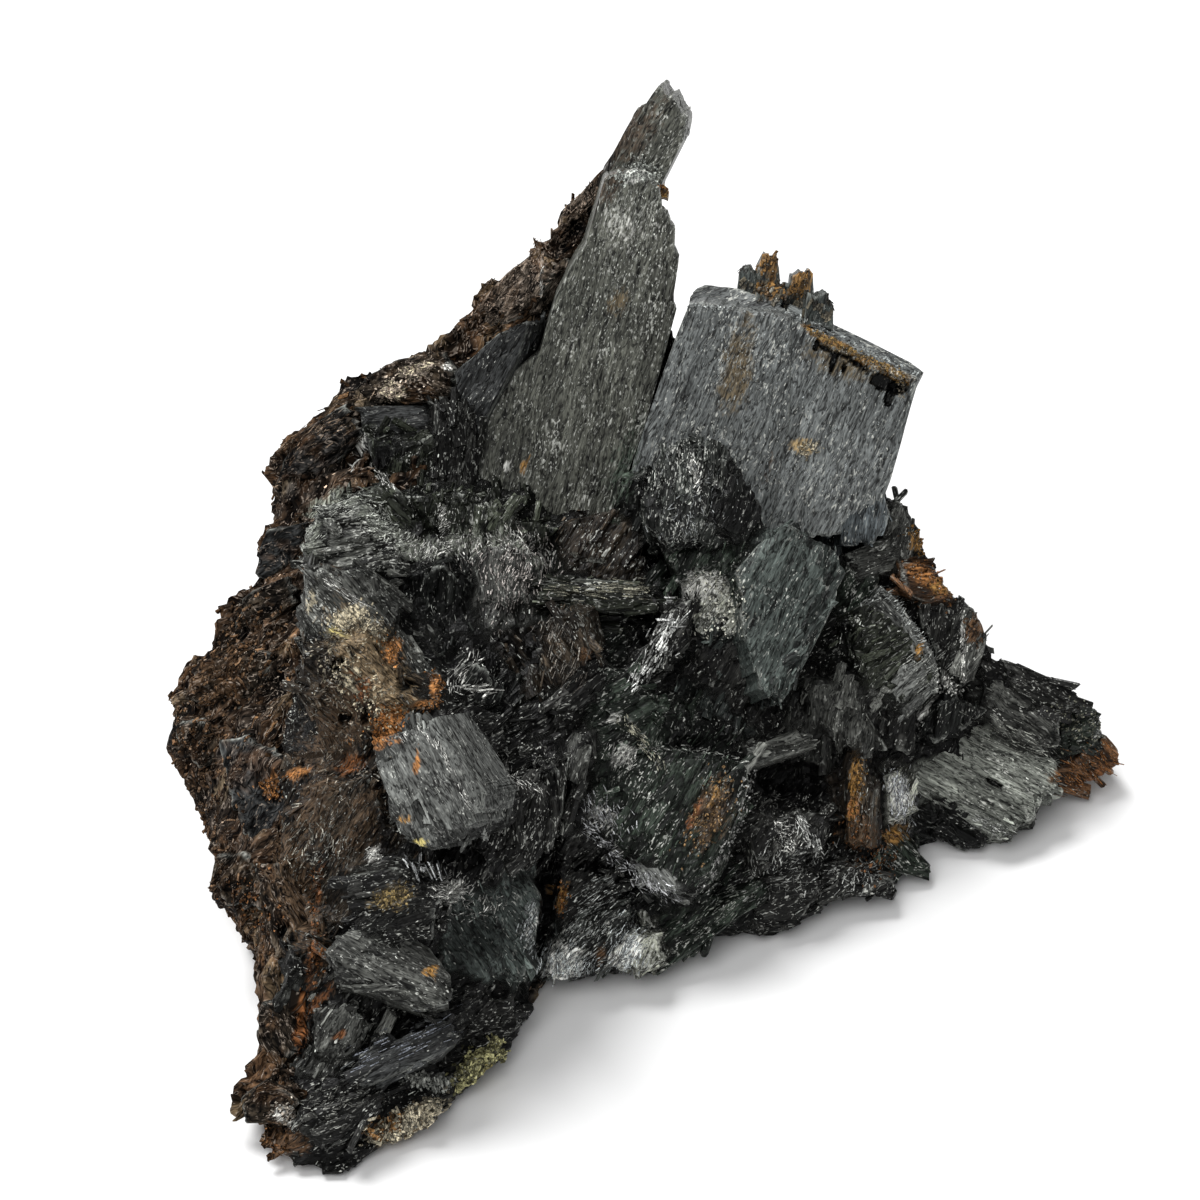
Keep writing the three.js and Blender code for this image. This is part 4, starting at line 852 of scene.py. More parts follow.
def prism_shells(places: Places, seed: float) -> tuple[Array, Array]:
    """The points and triangles of small six-sided prisms with slanted, broken ends.

    Each has three rings of six corners along it and a point at each end. The rings lie at even shares of the
    length, and each end is cut by a plane of its own, so its corners lie at different lengths.

    Args:
        places: where they lie.
        seed: shifts the scatter.

    Returns:
        All their points and triangles.
    """
    number = np.arange(len(places.middles))
    side = np.arange(6)
    turn = np.radians((25, 90, 155, 205, 270, 335))
    wide, high = np.cos(turn) * 1.08, np.sin(turn)
    share = np.array((-1, 0, 1))
    tilt = (scatter(number[:, None], np.array((0, 1)), seed) - 0.5) * 2
    lift = (scatter(number[:, None], np.array((2, 3)), seed) - 0.5) * 2
    cut = np.zeros((len(number), 3, 6))
    for end, ring in enumerate((0, 2)):
        cut[:, ring] = 0.5 * (tilt[:, end:end + 1] * wide + lift[:, end:end + 1] * high)
    jag = 0.16 * (scatter(number[:, None, None], share[None, :, None] * 9, side[None, None], seed) - 0.5)
    size = places.sizes[:, :, None, None]
    x = size[:, 0] * (wide + jag)
    y = size[:, 1] * share[None, :, None] + (cut + jag) * size[:, 0]
    z = size[:, 2] * (high + jag)
    rings = np.stack((x, y, z), 3).reshape(len(number), 18, 3)
    tips = np.stack((rings[:, :6].mean(1), rings[:, 12:].mean(1)), 1)
    starts = 6 * np.arange(2)[:, None]
    ring, after = side + starts, np.roll(side, -1) + starts
    walls = np.concatenate((np.stack((ring, ring + 6, after), 2), np.stack((after, ring + 6, after + 6), 2)))
    near_cap = np.stack((side, np.roll(side, -1), np.full(6, 18)), 1)
    far_cap = np.stack((side + 12, np.full(6, 19), np.roll(side, -1) + 12), 1)
    faces = np.concatenate((walls.reshape(-1, 3), near_cap, far_cap))
    return places.set_down(np.concatenate((rings, tips), 1), faces)


def nearest_seats(points: Array, seats: list[Seat]) -> Array:
    """The seat of each point: the one whose middle is nearest, measured in its own half sizes."""
    best = np.full(len(points), np.inf)
    which = np.zeros(len(points), int)
    for number, seat in enumerate(seats):
        local = seat.local(points)
        half = np.array((*np.ptp(seat.corners, axis=0) / 2, seat.crystal.thick / 2))
        centre = np.array((*(seat.corners.max(0) + seat.corners.min(0)) / 2, -seat.crystal.thick / 2))
        far = (((local - centre) / (half + 1)) ** 4).sum(1)
        near = far < best
        best[near] = far[near]
        which[near] = number
    return which


def behind(points: Array, seats: list[Seat], reach: float = 4.0) -> Array:
    """Which points lie within a reach of a crystal's face, inside the box round its outline."""
    found = np.zeros(len(points), bool)
    for seat in seats:
        local = seat.local(points)
        inside = (local[:, :2] > seat.corners.min(0)) & (local[:, :2] < seat.corners.max(0))
        found |= inside.all(1) & (np.abs(local[:, 2]) < reach)
    return found


# Stains and marks


@dataclass(frozen=True)
class StainAndShade:
    """A patch of colour round the point seen at x, y: half its sizes in sheet units and its turn. Most are
    stains; the black ones are painted shade in hollows and pits, and the green-grey one in the tall crystal's
    crease is painted shade.
    """

    colour: tuple[float, float, float]
    x: float
    y: float
    long: float
    wide: float
    turn: float = 0.0
    strength: float = 0.9


# Pale worn edges, with a painted highlight along them.
PALE_WEAR_AND_HIGHLIGHT = (0.24, 0.25, 0.23)
OCHRE = (0.25, 0.135, 0.04)
RUST = (0.14, 0.055, 0.02)
ORANGE = (0.26, 0.115, 0.038)
PEACH = (0.48, 0.22, 0.075)
CREAM = (0.52, 0.46, 0.33)
WHITE = (0.66, 0.66, 0.62)
BROWN = (0.075, 0.042, 0.022)
# BLACK is painted shade: it darkens the hollows and the pits.
BLACK = (0.003, 0.003, 0.003)
EARTH = (0.055, 0.036, 0.022)
UMBER = (0.062, 0.047, 0.034)
TAN = (0.17, 0.125, 0.075)
BROWN_OCHRE = (0.110, 0.086, 0.052)
YELLOW = (0.45, 0.38, 0.14)
# A dark green-grey for painted shade in a crease.
GREEN_CREASE_SHADE = (0.05, 0.065, 0.05)
FELT = (0.15, 0.16, 0.135)
AMBER = (0.36, 0.26, 0.13)

# Stains, with black patches of painted shade in the hollows and the pits.
STAINS_AND_SHADES = tuple(StainAndShade(*row) for row in (
    # The tall crystal and what lies round it.
    (PEACH, 663, 190, 7, 6),
    (WHITE, 637, 174, 20, 9, 10, 0.6),
    (WHITE, 625, 225, 24, 30, 60, 0.25),
    (BROWN_OCHRE, 619, 300, 15, 9, 70, 0.75),
    (OCHRE, 525, 465, 7, 4, 60),
    (WHITE, 507, 468, 6, 4, 60),
    # Painted shade in the crease between the tall crystal and the block.
    (GREEN_CREASE_SHADE, 625, 470, 45, 14, 75, 0.6),
    (BLACK, 576, 230, 12, 8, 40, 0.8),
    (BLACK, 560, 250, 14, 5, 30, 0.8),
    (UMBER, 637, 134, 46, 14, 58, 0.6),
    (UMBER, 612, 180, 30, 12, 58, 0.6),
    (CREAM, 417, 370, 15, 6, 20),
    (CREAM, 393, 391, 10, 8, 40),
    (WHITE, 447, 367, 5, 3),
    (BLACK, 385, 455, 26, 12, 60, 0.85),
    (WHITE, 360, 448, 17, 5, 70, 0.8),
    (CREAM, 348, 618, 20, 8, 30),
    (YELLOW, 333, 630, 10, 5, 20, 0.8),
    (CREAM, 312, 600, 12, 6, 70, 0.5),
    # Ochre and rust on the left.
    (PEACH, 392, 652, 13, 7, 70),
    (RUST, 362, 690, 20, 8, 60),
    (CREAM, 352, 676, 15, 6, 60, 0.75),
    (BLACK, 338, 664, 9, 5, 60),
    (BLACK, 366, 712, 9, 4, 70),
    (BLACK, 310, 726, 12, 6, 60, 0.8),
    (PEACH, 386, 722, 14, 8, 50),
    (PEACH, 350, 740, 7, 5, 20, 0.8),
    (ORANGE, 372, 742, 22, 9, 10, 0.8),
    (RUST, 350, 765, 16, 8, 20),
    (ORANGE, 435, 684, 14, 5, 75),
    (ORANGE, 424, 704, 10, 4, 10),
    (ORANGE, 272, 785, 13, 5, 80),
    (ORANGE, 295, 774, 15, 4, 10),
    (EARTH, 362, 800, 30, 8, 30, 0.8),
    (BLACK, 335, 690, 12, 9, 50),
    (BLACK, 345, 720, 8, 5, 0),
    (BLACK, 405, 685, 7, 5, 0),
    (TAN, 372, 660, 62, 30, -55, 0.7),
    (EARTH, 335, 730, 60, 34, 60, 0.75),
    (EARTH, 310, 800, 50, 26, 70, 0.7),
    (EARTH, 300, 900, 80, 20, -75, 0.8),
    (EARTH, 355, 830, 40, 22, 60, 0.5),
    (EARTH, 330, 565, 24, 10, -70, 0.5),
    # The block crystal.
    (BROWN_OCHRE, 737, 370, 44, 15, 78, 0.7),
    (OCHRE, 768, 262, 13, 10, 80),
    (OCHRE, 803, 281, 15, 9, 75),
    (OCHRE, 823, 300, 11, 8, 80),
    (OCHRE, 772, 291, 15, 8, -10),
    (OCHRE, 808, 328, 7, 3, -20, 0.8),
    (OCHRE, 832, 342, 24, 4, -24, 0.8),
    (OCHRE, 880, 366, 32, 4, -22, 0.85),
    (BROWN_OCHRE, 840, 362, 34, 16, -20, 0.6),
    (AMBER, 804, 448, 12, 8, 0, 0.85),
    (CREAM, 814, 447, 4, 5, 0, 0.7),
    (BROWN, 768, 470, 22, 3, 75, 0.3),
    # The middle.
    (WHITE, 705, 585, 24, 14, 10, 0.75),
    (BROWN, 585, 655, 7, 5, 40, 0.8),
    (ORANGE, 394, 722, 14, 12, 60, 0.8),
    (ORANGE, 417, 762, 13, 3, 85, 0.7),
    (YELLOW, 420, 843, 7, 4, 0, 0.7),
    (OCHRE, 404, 820, 7, 4, 0, 0.6),
    (WHITE, 373, 855, 7, 5, 30),
    (WHITE, 623, 755, 12, 8, 50, 0.7),
    (WHITE, 615, 718, 6, 4),
    # The front crystal.
    (EARTH, 712, 812, 32, 18, 66, 0.7),
    (OCHRE, 714, 796, 17, 4, 70, 0.8),
    (RUST, 694, 816, 20, 5, 64, 0.8),
    (WHITE, 602, 816, 20, 12, -40, 0.35),
    (BLACK, 600, 868, 34, 20, 10, 0.85),
    (BLACK, 790, 778, 34, 18, 0, 0.85),
    # The lower edge.
    (WHITE, 627, 952, 20, 12, 60),
    (WHITE, 562, 966, 22, 18, 40, 0.85),
    (OCHRE, 563, 897, 15, 4, 80),
    (BROWN, 600, 955, 10, 6, 70, 0.8),
    (BLACK, 548, 895, 60, 9, 82),
    (WHITE, 532, 925, 20, 6, 70, 0.35),
    # The right side.
    (OCHRE, 921, 541, 10, 8, 30),
    (ORANGE, 921, 572, 11, 8, -30),
    (OCHRE, 942, 588, 12, 7, -30, 0.7),
    (BROWN, 975, 627, 15, 8, 70),
    (OCHRE, 919, 650, 9, 3, 70),
    (WHITE, 923, 713, 10, 4, 70, 0.7),
    (OCHRE, 855, 776, 20, 5, 88, 0.8),
    (ORANGE, 853, 808, 12, 5, 80),
    (EARTH, 868, 840, 28, 24, 0, 0.8),
    (WHITE, 901, 795, 24, 12, 85, 0.6),
    (OCHRE, 898, 833, 12, 8, 40, 0.8),
    (RUST, 1096, 776, 24, 6, 30, 0.6),
    (BROWN, 1060, 776, 12, 8, 0, 0.7),
    # The leg.
    (OCHRE, 430, 970, 8, 4, 20),
    (RUST, 314, 930, 60, 4, 84, 0.7),
    (RUST, 302, 1028, 24, 6, 84),
    (RUST, 318, 1000, 16, 4, 50),
    (RUST, 340, 1035, 7, 4, 20),
    (BROWN_OCHRE, 392, 897, 18, 11, 20, 0.8),
    (WHITE, 450, 890, 14, 9, 20, 0.7),
    (YELLOW, 480, 1064, 20, 11, 40, 0.5),
    (TAN, 405, 1126, 36, 13, 30, 0.8),
    (OCHRE, 385, 1128, 10, 5, 26, 0.8),
    (WHITE, 287, 1115, 12, 9, 0, 0.5),
    (BROWN, 275, 1145, 26, 18, 0, 0.8),
))

# The felt of fine fibres that winds along the upper left: the middles of its patches and half their size.
FELT_PLACES = (
    (311, 545), (311, 526), (320, 509), (336, 500), (354, 499), (369, 508), (381, 524), (394, 539),
    (410, 549), (432, 550), (454, 544), (476, 541), (500, 540), (524, 544), (541, 556),
)
FELT_SIZE = 11
STAINS_AND_SHADES += tuple(StainAndShade(FELT, x, y, FELT_SIZE, FELT_SIZE, 0, 0.8) for x, y in FELT_PLACES)


@dataclass(frozen=True)
class Pit:
    """A hole in the faces round x, y of the sheet: half its sizes in sheet units, its turn and its depth."""

    x: float
    y: float
    long: float
    wide: float
    turn: float = 0.0
    deep: float = 2.5


PITS = tuple(Pit(*row) for row in (
    # The block and the tall crystal.
    (884, 382, 19, 9, -25, 3.0),
    (889, 397, 8, 5, 80, 2.5),
    (900, 386, 8, 8, 0, 2.0),
    (834, 360, 9, 3, 80, 2.0),
    (817, 343, 6, 3, 70, 2.0),
    (826, 349, 6, 2, -30, 1.5),
    (848, 357, 8, 2.5, -25, 1.5),
    (860, 365, 9, 3, -25, 1.5),
    (844, 366, 5, 2, 80, 1.5),
    (785, 303, 6, 3, 80, 2.0),
    (576, 230, 12, 8, 40, 2.5),
    (560, 250, 14, 5, 30, 2.0),
    # The dark mass.
    (342, 527, 11, 8, -30, 3.0),
    (588, 214, 7, 9, 60, 2.0),
    (438, 520, 14, 7, 80),
    (335, 690, 13, 9, 50, 3.0),
    (346, 720, 8, 6),
    (338, 664, 9, 5, 60),
    (367, 712, 10, 4, 70),
    (410, 845, 12, 5, -30, 2.5),
    (405, 685, 8, 6),
    (668, 560, 30, 14, -10, 3.0),
    (567, 795, 30, 5, 76, 3.0),
    (548, 895, 62, 8, 84, 3.5),
    (602, 868, 34, 13, -18, 3.0),
    (790, 778, 34, 14, 0, 3.0),
    (285, 935, 16, 7, -65, 2.5),
    (994, 783, 9, 2, -28, 1.2),
))


class Painter:
    """Lays the stains and the painted shade on the points of a mesh, sinks its pits and blackens them as
    painted shade.
    """

    def __init__(self, carrier: Carrier) -> None:
        """Finds how deep each stain and each pit lies."""
        self.depths = [self.depth(carrier, stain_and_shade) for stain_and_shade in STAINS_AND_SHADES]
        self.pit_depths = [self.depth(carrier, pit) for pit in PITS]

    def depth(self, carrier: Carrier, mark: StainAndShade | Pit) -> float | None:
        """How near the eye a mark lies, or None where nothing carries it."""
        found = carrier.hit(mark.x, mark.y)
        return None if found is None else SIGHT.sheet(found[0][None])[0, 2]

    def sink(self, points: Array, stain_and_shade: Array) -> tuple[Array, Array]:
        """Moves the points inside the pits away from the eye and blackens them: painted shade in the pits.

        A point sinks by the pit's depth times a smooth step of how far inside the pit's ragged edge it lies.

        Args:
            points: n by 3 points.
            stain_and_shade: n by 4 stains, with their painted shade.

        Returns:
            The new points, and the stains with the painted shade of the pits.
        """
        seen = SIGHT.sheet(points)
        rough = 0.35 * noise(points, 1.6, 15) + 0.2 * noise(points, 0.7, 16)
        points, stain_and_shade = points.copy(), stain_and_shade.copy()
        for pit, depth in zip(PITS, self.pit_depths):
            if depth is None:
                continue
            share = np.clip((1.15 - near_mark(seen, pit, depth) + rough) / 0.3, 0, 1)
            points -= SIGHT.towards * (pit.deep * share)[:, None]
            won = share > 0.3
            # Painted shade: the points deep in a pit are painted black.
            stain_and_shade[won] = (*BLACK, 1.2)
        return points, stain_and_shade

    def lay(self, points: Array) -> Array:
        """The stain at each point; the black patches among them are painted shade.

        A stain's strength falls from its middle outwards with the distance on the sheet and in depth,
        measured in its half sizes, and the strongest stain wins.

        Args:
            points: n by 3 points.

        Returns:
            n by 4: the colour, a stain's own and black where shade is painted, and its strength.
        """
        laid = np.zeros((len(points), 4))
        seen = SIGHT.sheet(points)
        rough = 0.35 * noise(points, 2.0, 5) + 0.25 * noise(points, 0.9, 6)
        for stain_and_shade, depth in zip(STAINS_AND_SHADES, self.depths):
            if depth is None:
                continue
            near = near_mark(seen, stain_and_shade, depth)
            share = np.clip((1.5 - near + rough) / 1.1, 0, 1) * stain_and_shade.strength
            won = share > laid[:, 3]
            laid[won] = np.column_stack((np.broadcast_to(stain_and_shade.colour, (won.sum(), 3)), share[won]))
        return laid


def near_mark(seen: Array, mark: StainAndShade | Pit, depth: float) -> Array:
    """How far points are from a mark's middle, in its half sizes.

    Args:
        seen: n by 3 places on the sheet.
        mark: a mark with x, y, long, wide and turn.
        depth: how deep the mark lies.

    Returns:
        n distances, one at the mark's edge.
    """
    turn = np.radians(mark.turn)
    dx, dy = seen[:, 0] - mark.x, mark.y - seen[:, 1]
    along = (dx * np.cos(turn) + dy * np.sin(turn)) / mark.long
    wide = (dy * np.cos(turn) - dx * np.sin(turn)) / mark.wide
    deep = (seen[:, 2] - depth) / (3 + 0.12 * mark.long)
    return np.sqrt(along**2 + wide**2 + deep**2)


# Materials


Socket = bpy.types.NodeSocket
Value = Socket | float
Rgba = tuple[float, float, float, float]


class Graph:
    """A small helper to lay out the nodes of a material or a group."""

    def __init__(self, tree: bpy.types.NodeTree) -> None:
        """Works on this tree."""
        self.tree = tree

    def node(self, kind: str, **settings: object) -> bpy.types.Node:
        """Adds a node and sets its properties."""
        made = self.tree.nodes.new(kind)
        for name, value in settings.items():
            setattr(made, name, value)
        return made

    def link(self, source: Socket, target: Socket) -> None:
        """Joins two sockets."""
        self.tree.links.new(source, target)

    def math(self, operation: str, first: Value, second: Value) -> Socket:
        """Adds a sum of two values, each a socket or a number."""
        made = self.node("ShaderNodeMath", operation=operation)
        for socket, value in zip(made.inputs, (first, second)):
            self.feed(socket, value)
        return made.outputs[0]

    def plus(self, first: Value, second: Value) -> Socket:
        """One value plus another."""
        return self.math("ADD", first, second)

    def less(self, first: Value, second: Value) -> Socket:
        """One value less another."""
        return self.math("SUBTRACT", first, second)

    def times(self, first: Value, second: Value) -> Socket:
        """One value times another."""
        return self.math("MULTIPLY", first, second)

    def most(self, first: Value, second: Value) -> Socket:
        """The larger of two values."""
        return self.math("MAXIMUM", first, second)

    def feed(self, socket: Socket, value: Value | Rgba) -> None:
        """Links a socket, or sets a plain value."""
        if isinstance(value, Socket):
            self.link(value, socket)
        else:
            socket.default_value = value

    def stretch(self, vector: Socket, scale: tuple[float, float, float], detail: float) -> bpy.types.Node:
        """Adds a noise node over a vector that is first stretched by scale."""
        stretched = self.node("ShaderNodeVectorMath", operation="MULTIPLY")
        self.link(vector, stretched.inputs[0])
        stretched.inputs[1].default_value = scale
        made = self.node("ShaderNodeTexNoise")
        self.link(stretched.outputs[0], made.inputs["Vector"])
        made.inputs["Scale"].default_value = 1
        made.inputs["Detail"].default_value = detail
        return made

    def noise(self, vector: Socket, scale: tuple[float, float, float], detail: float) -> Socket:
        """Noise over a stretched vector."""
        return self.stretch(vector, scale, detail).outputs["Fac"]

    def warped(self, vector: Socket, scale: tuple[float, float, float], amount: float) -> Socket:
        """Bends a vector: noise over it, less a half, is added to it times an amount."""
        centred = self.node("ShaderNodeVectorMath", operation="SUBTRACT")
        self.link(self.stretch(vector, scale, 1).outputs["Color"], centred.inputs[0])
        centred.inputs[1].default_value = (0.5, 0.5, 0.5)
        bent = self.node("ShaderNodeVectorMath", operation="MULTIPLY_ADD")
        self.link(centred.outputs[0], bent.inputs[0])
        bent.inputs[1].default_value = (amount, amount, amount)
        self.link(vector, bent.inputs[2])
        return bent.outputs[0]

    def winding(self, value: Socket, width: float) -> Socket:
        """Thin winding lines: one where noise is within a width of its middle."""
        away = self.math("ABSOLUTE", self.math("SUBTRACT", value, 0.5), 0.0)
        return self.range(away, width * 0.4, width, 1, 0)

    def range(self, value: Socket, low: float, high: float, start: float = 0.0, end: float = 1.0) -> Socket:
        """Maps a value from low..high to start..end and stops it there."""
        made = self.node("ShaderNodeMapRange")
        self.feed(made.inputs["Value"], value)
        for name, number in (("From Min", low), ("From Max", high), ("To Min", start), ("To Max", end)):
            made.inputs[name].default_value = number
        return made.outputs["Result"]

    def mix(self, share: Socket, first: Socket | Rgba, second: Socket | Rgba) -> Socket:
        """Mixes two colours."""
        made = self.node("ShaderNodeMix", data_type="RGBA")
        for place, value in ((0, share), (6, first), (7, second)):
            self.feed(made.inputs[place], value)
        return made.outputs[2]

    def put_out(self, values: dict[str, Socket]) -> None:
        """Gives a group these outputs."""
        for label in values:
            self.tree.interface.new_socket(label, in_out="OUTPUT", socket_type="NodeSocketFloat")
        end = self.node("NodeGroupOutput")
        for label, socket in values.items():
            self.link(socket, end.inputs[label])


def new_group(name: str) -> tuple[Graph, Socket, Socket, Socket]:
    """Starts a node group that takes the place along the grain, the share of flecks and the strength of the
    stain and painted shade.

    Args:
        name: the group's name.

    Returns:
        A helper for its nodes, and the three inputs.
    """
    group = bpy.data.node_groups.new(name, "ShaderNodeTree")
    for label, kind in (("Grain", "Vector"), ("Flecks", "Float"), ("StainAndShade", "Float")):
        group.interface.new_socket(label, in_out="INPUT", socket_type="NodeSocket" + kind)
    graph = Graph(group)
    start = graph.node("NodeGroupInput")
    return graph, start.outputs["Grain"], start.outputs["Flecks"], start.outputs["StainAndShade"]


def crystal_grain_group() -> bpy.types.NodeTree:
    """Lines, pale flecks that are partly painted glints, threads, and dark pits and cracks of painted shade
    along a crystal's grain, and the soft border of its stains and painted shade.

    The grain is bent a little by noise. The lines are noise stretched along it at three widths, and they also
    raise the bumps. A fleck is where finer stretched noise passes a limit that falls as the share of flecks
    grows, and a pit is where the same noise is lowest. Threads and cracks are where other noise is near its
    middle. A stain, with the painted shade of the pits, covers where its strength plus noise passes a half.

    Returns:
        The group.
    """
    graph, start, share, stain_and_shade = new_group("Crystal grain")
    grain = graph.warped(start, (0.3, 0.12, 0.3), 1.8)
    broad = graph.noise(grain, (0.8, 0.10, 0.8), 2)
    line = graph.noise(grain, (2.2, 0.22, 2.2), 2)
    fine = graph.noise(grain, (3.8, 0.8, 3.8), 1)
    lines = graph.plus(graph.times(line, 0.4), graph.times(fine, 0.35))
    lines = graph.plus(lines, graph.times(broad, 0.25))
    dash = graph.noise(grain, (2.5, 0.75, 2.5), 1)
    spot = graph.noise(grain, (2.9, 1.5, 2.9), 1)
    patch = graph.noise(grain, (0.3, 0.2, 0.3), 2)
    # Flecks: pale grains that also stand for glints, painted into the colour.
    limit = graph.less(0.79, graph.times(share, 0.2))
    limit = graph.less(limit, graph.times(graph.less(patch, 0.5), 0.4))
    dashes = graph.range(graph.less(dash, limit), 0.0, 0.03)
    fleck = graph.most(dashes, graph.range(graph.less(spot, limit), 0.025, 0.055))
    broken = graph.range(graph.noise(grain, (1.4, 0.9, 1.4), 2), 0.5, 0.62)
    thread = graph.times(graph.winding(graph.noise(grain, (0.55, 0.14, 0.55), 3), 0.02), broken)
    thread = graph.times(thread, graph.range(share, 0.2, 0.8, 0.2, 0.9))
    fleck = graph.most(fleck, thread)
    bright = graph.range(graph.noise(grain, (1.9, 0.9, 1.9), 1), 0.35, 0.65, 0.25, 1)
    fleck = graph.times(fleck, bright)
    # Pits and cracks darken the colour as painted shade.
    crack = graph.winding(graph.noise(grain, (0.42, 0.06, 0.42), 2), 0.012)
    pit = graph.most(graph.range(graph.less(0.4, dash), 0.0, 0.05), crack)
    height = graph.plus(lines, graph.times(dash, 0.5))
    breakup = graph.noise(grain, (1.8, 0.9, 1.8), 2)
    breakup = graph.times(graph.less(breakup, 0.5), 1.3)
    covered = graph.range(graph.plus(stain_and_shade, breakup), 0.2, 0.65)
    graph.put_out({"Lines": lines, "Fleck": fleck, "Pit": pit, "Covered": covered, "Height": height})
    return graph.tree


def rock_grain_group() -> bpy.types.NodeTree:
    """Earthy patches, pale flecks and threads, cracks and pits of painted shade, and rust of the host rock.

    The places are bent by noise. Patches are noise at two sizes, which also raise the bumps, a fleck or a rust
    spot is where noise passes a limit, and threads and cracks are where other noise is near its middle.

    Returns:
        The group.
    """
    graph, start, share, stain_and_shade = new_group("Rock grain")
    place = graph.warped(start, (0.16, 0.12, 0.16), 7.0)
    coarse = graph.noise(place, (0.45, 0.2, 0.45), 2)
    fine = graph.noise(place, (2.0, 0.7, 2.0), 2)
    dot = graph.noise(place, (2.8, 1.1, 2.8), 1)
    warm = graph.noise(place, (0.16, 0.12, 0.16), 3)
    patch = graph.plus(graph.times(coarse, 0.5), graph.times(fine, 0.5))
    limit = graph.less(0.77, graph.times(share, 0.18))
    limit = graph.less(limit, graph.times(graph.less(coarse, 0.5), 0.4))
    fleck = graph.range(graph.less(dot, limit), 0.0, 0.07)
    broken = graph.range(graph.noise(place, (1.2, 0.8, 1.2), 2), 0.47, 0.6)
    thread = graph.times(graph.winding(graph.noise(place, (0.6, 0.22, 0.6), 3), 0.024), broken)
    fleck = graph.most(fleck, graph.times(thread, 0.8))
    bright = graph.range(graph.noise(place, (1.6, 0.9, 1.6), 1), 0.35, 0.65, 0.2, 1)
    fleck = graph.times(fleck, bright)
    crack = graph.winding(graph.noise(place, (0.3, 0.12, 0.3), 2), 0.02)
    pit = graph.most(crack, graph.range(graph.less(0.4, fine), 0.0, 0.08))
    breakup = graph.times(graph.less(fine, 0.5), 1.3)
    covered = graph.range(graph.plus(stain_and_shade, breakup), 0.2, 0.65)
    height = graph.plus(patch, graph.times(dot, 0.3))
    rust = graph.range(warm, 0.5, 0.68)
    graph.put_out(
        {"Patch": patch, "Fleck": fleck, "Pit": pit, "Rust": rust, "Covered": covered, "Height": height}
    )
    return graph.tree


class Coat:
    """A new material, with a grain group that is fed from the mesh's attributes."""

    def __init__(self, name: str, group: bpy.types.NodeTree) -> None:
        """Makes the material and joins the attributes to the group."""
        self.material = bpy.data.materials.new(name)
        self.material.use_nodes = True
        self.graph = Graph(self.material.node_tree)
        self.shader = self.material.node_tree.nodes["Principled BSDF"]
        marks = self.graph.node("ShaderNodeGroup", node_tree=group)
        tint, stain_and_shade, grain = (
            self.graph.node("ShaderNodeAttribute", attribute_name=label).outputs
            for label in ("tint", "stain_and_shade", "grain")
        )
        self.graph.link(grain["Vector"], marks.inputs["Grain"])
        self.graph.link(tint["Alpha"], marks.inputs["Flecks"])
        self.graph.link(stain_and_shade["Alpha"], marks.inputs["StainAndShade"])
        self.tint, self.stain_and_shade, self.marks = tint["Color"], stain_and_shade["Color"], marks.outputs

    def scaled(self, colour: Socket, share: Socket) -> Socket:
        """A colour times a value."""
        made = self.graph.node("ShaderNodeVectorMath", operation="SCALE")
        self.graph.link(colour, made.inputs[0])
        self.graph.link(share, made.inputs["Scale"])
        return made.outputs[0]

    def raise_bumps(self, strength: float, distance: float) -> None:
        """Feeds the group's height to the shader's normal."""
        bump = self.graph.node("ShaderNodeBump")
        bump.inputs["Strength"].default_value = strength
        bump.inputs["Distance"].default_value = distance
        self.graph.link(self.marks["Height"], bump.inputs["Height"])
        self.graph.link(bump.outputs[0], self.shader.inputs["Normal"])


@dataclass(frozen=True)
class CrystalFinish:
    """A material of splintery crystal: how strongly its lines paint shade and light, the gloss, and the colour
    of its flecks, which are partly painted glints.
    """

    name: str
    line_low: float = 0.06
    line_high: float = 2.7
    roughness: tuple[float, float] = (0.3, 0.6)
    bump: float = 0.8
    bump_height: float = 0.0004
    fleck: Rgba = (0.62, 0.63, 0.58, 1)
    shine: float = 0.1
    index: float = 1.6

    def material(self, group: bpy.types.NodeTree) -> bpy.types.Material:
        """The tint, darker and lighter along the lines that raise the bumps, which is painted shade in the
        grooves and painted light on the ridges besides the grain's banding, darker in the pits and cracks as
        painted shade, with pale flecks over it that are partly painted glints.
        """
        coat = Coat(self.name, group)
        graph, marks = coat.graph, coat.marks
        base = graph.mix(marks["Covered"], coat.tint, coat.stain_and_shade)
        # Painted shade and light: the lines that raise the bumps darken and lighten the colour; pits and
        # cracks darken it.
        shade = graph.range(marks["Lines"], 0.37, 0.63, self.line_low, self.line_high)
        shade = graph.times(shade, graph.range(marks["Pit"], 0, 1, 1, 0.25))
        # Pale flecks, partly painted glints.
        pale = graph.times(marks["Fleck"], graph.range(marks["Covered"], 0, 1, 1, 0.3))
        colour = graph.mix(pale, coat.scaled(base, shade), self.fleck)
        graph.link(colour, coat.shader.inputs["Base Color"])
        graph.link(graph.range(marks["Lines"], 0.3, 0.7, *self.roughness), coat.shader.inputs["Roughness"])
        coat.raise_bumps(self.bump, self.bump_height)
        coat.shader.inputs["IOR"].default_value = self.index
        coat.shader.inputs["Specular IOR Level"].default_value = self.shine
        return coat.material


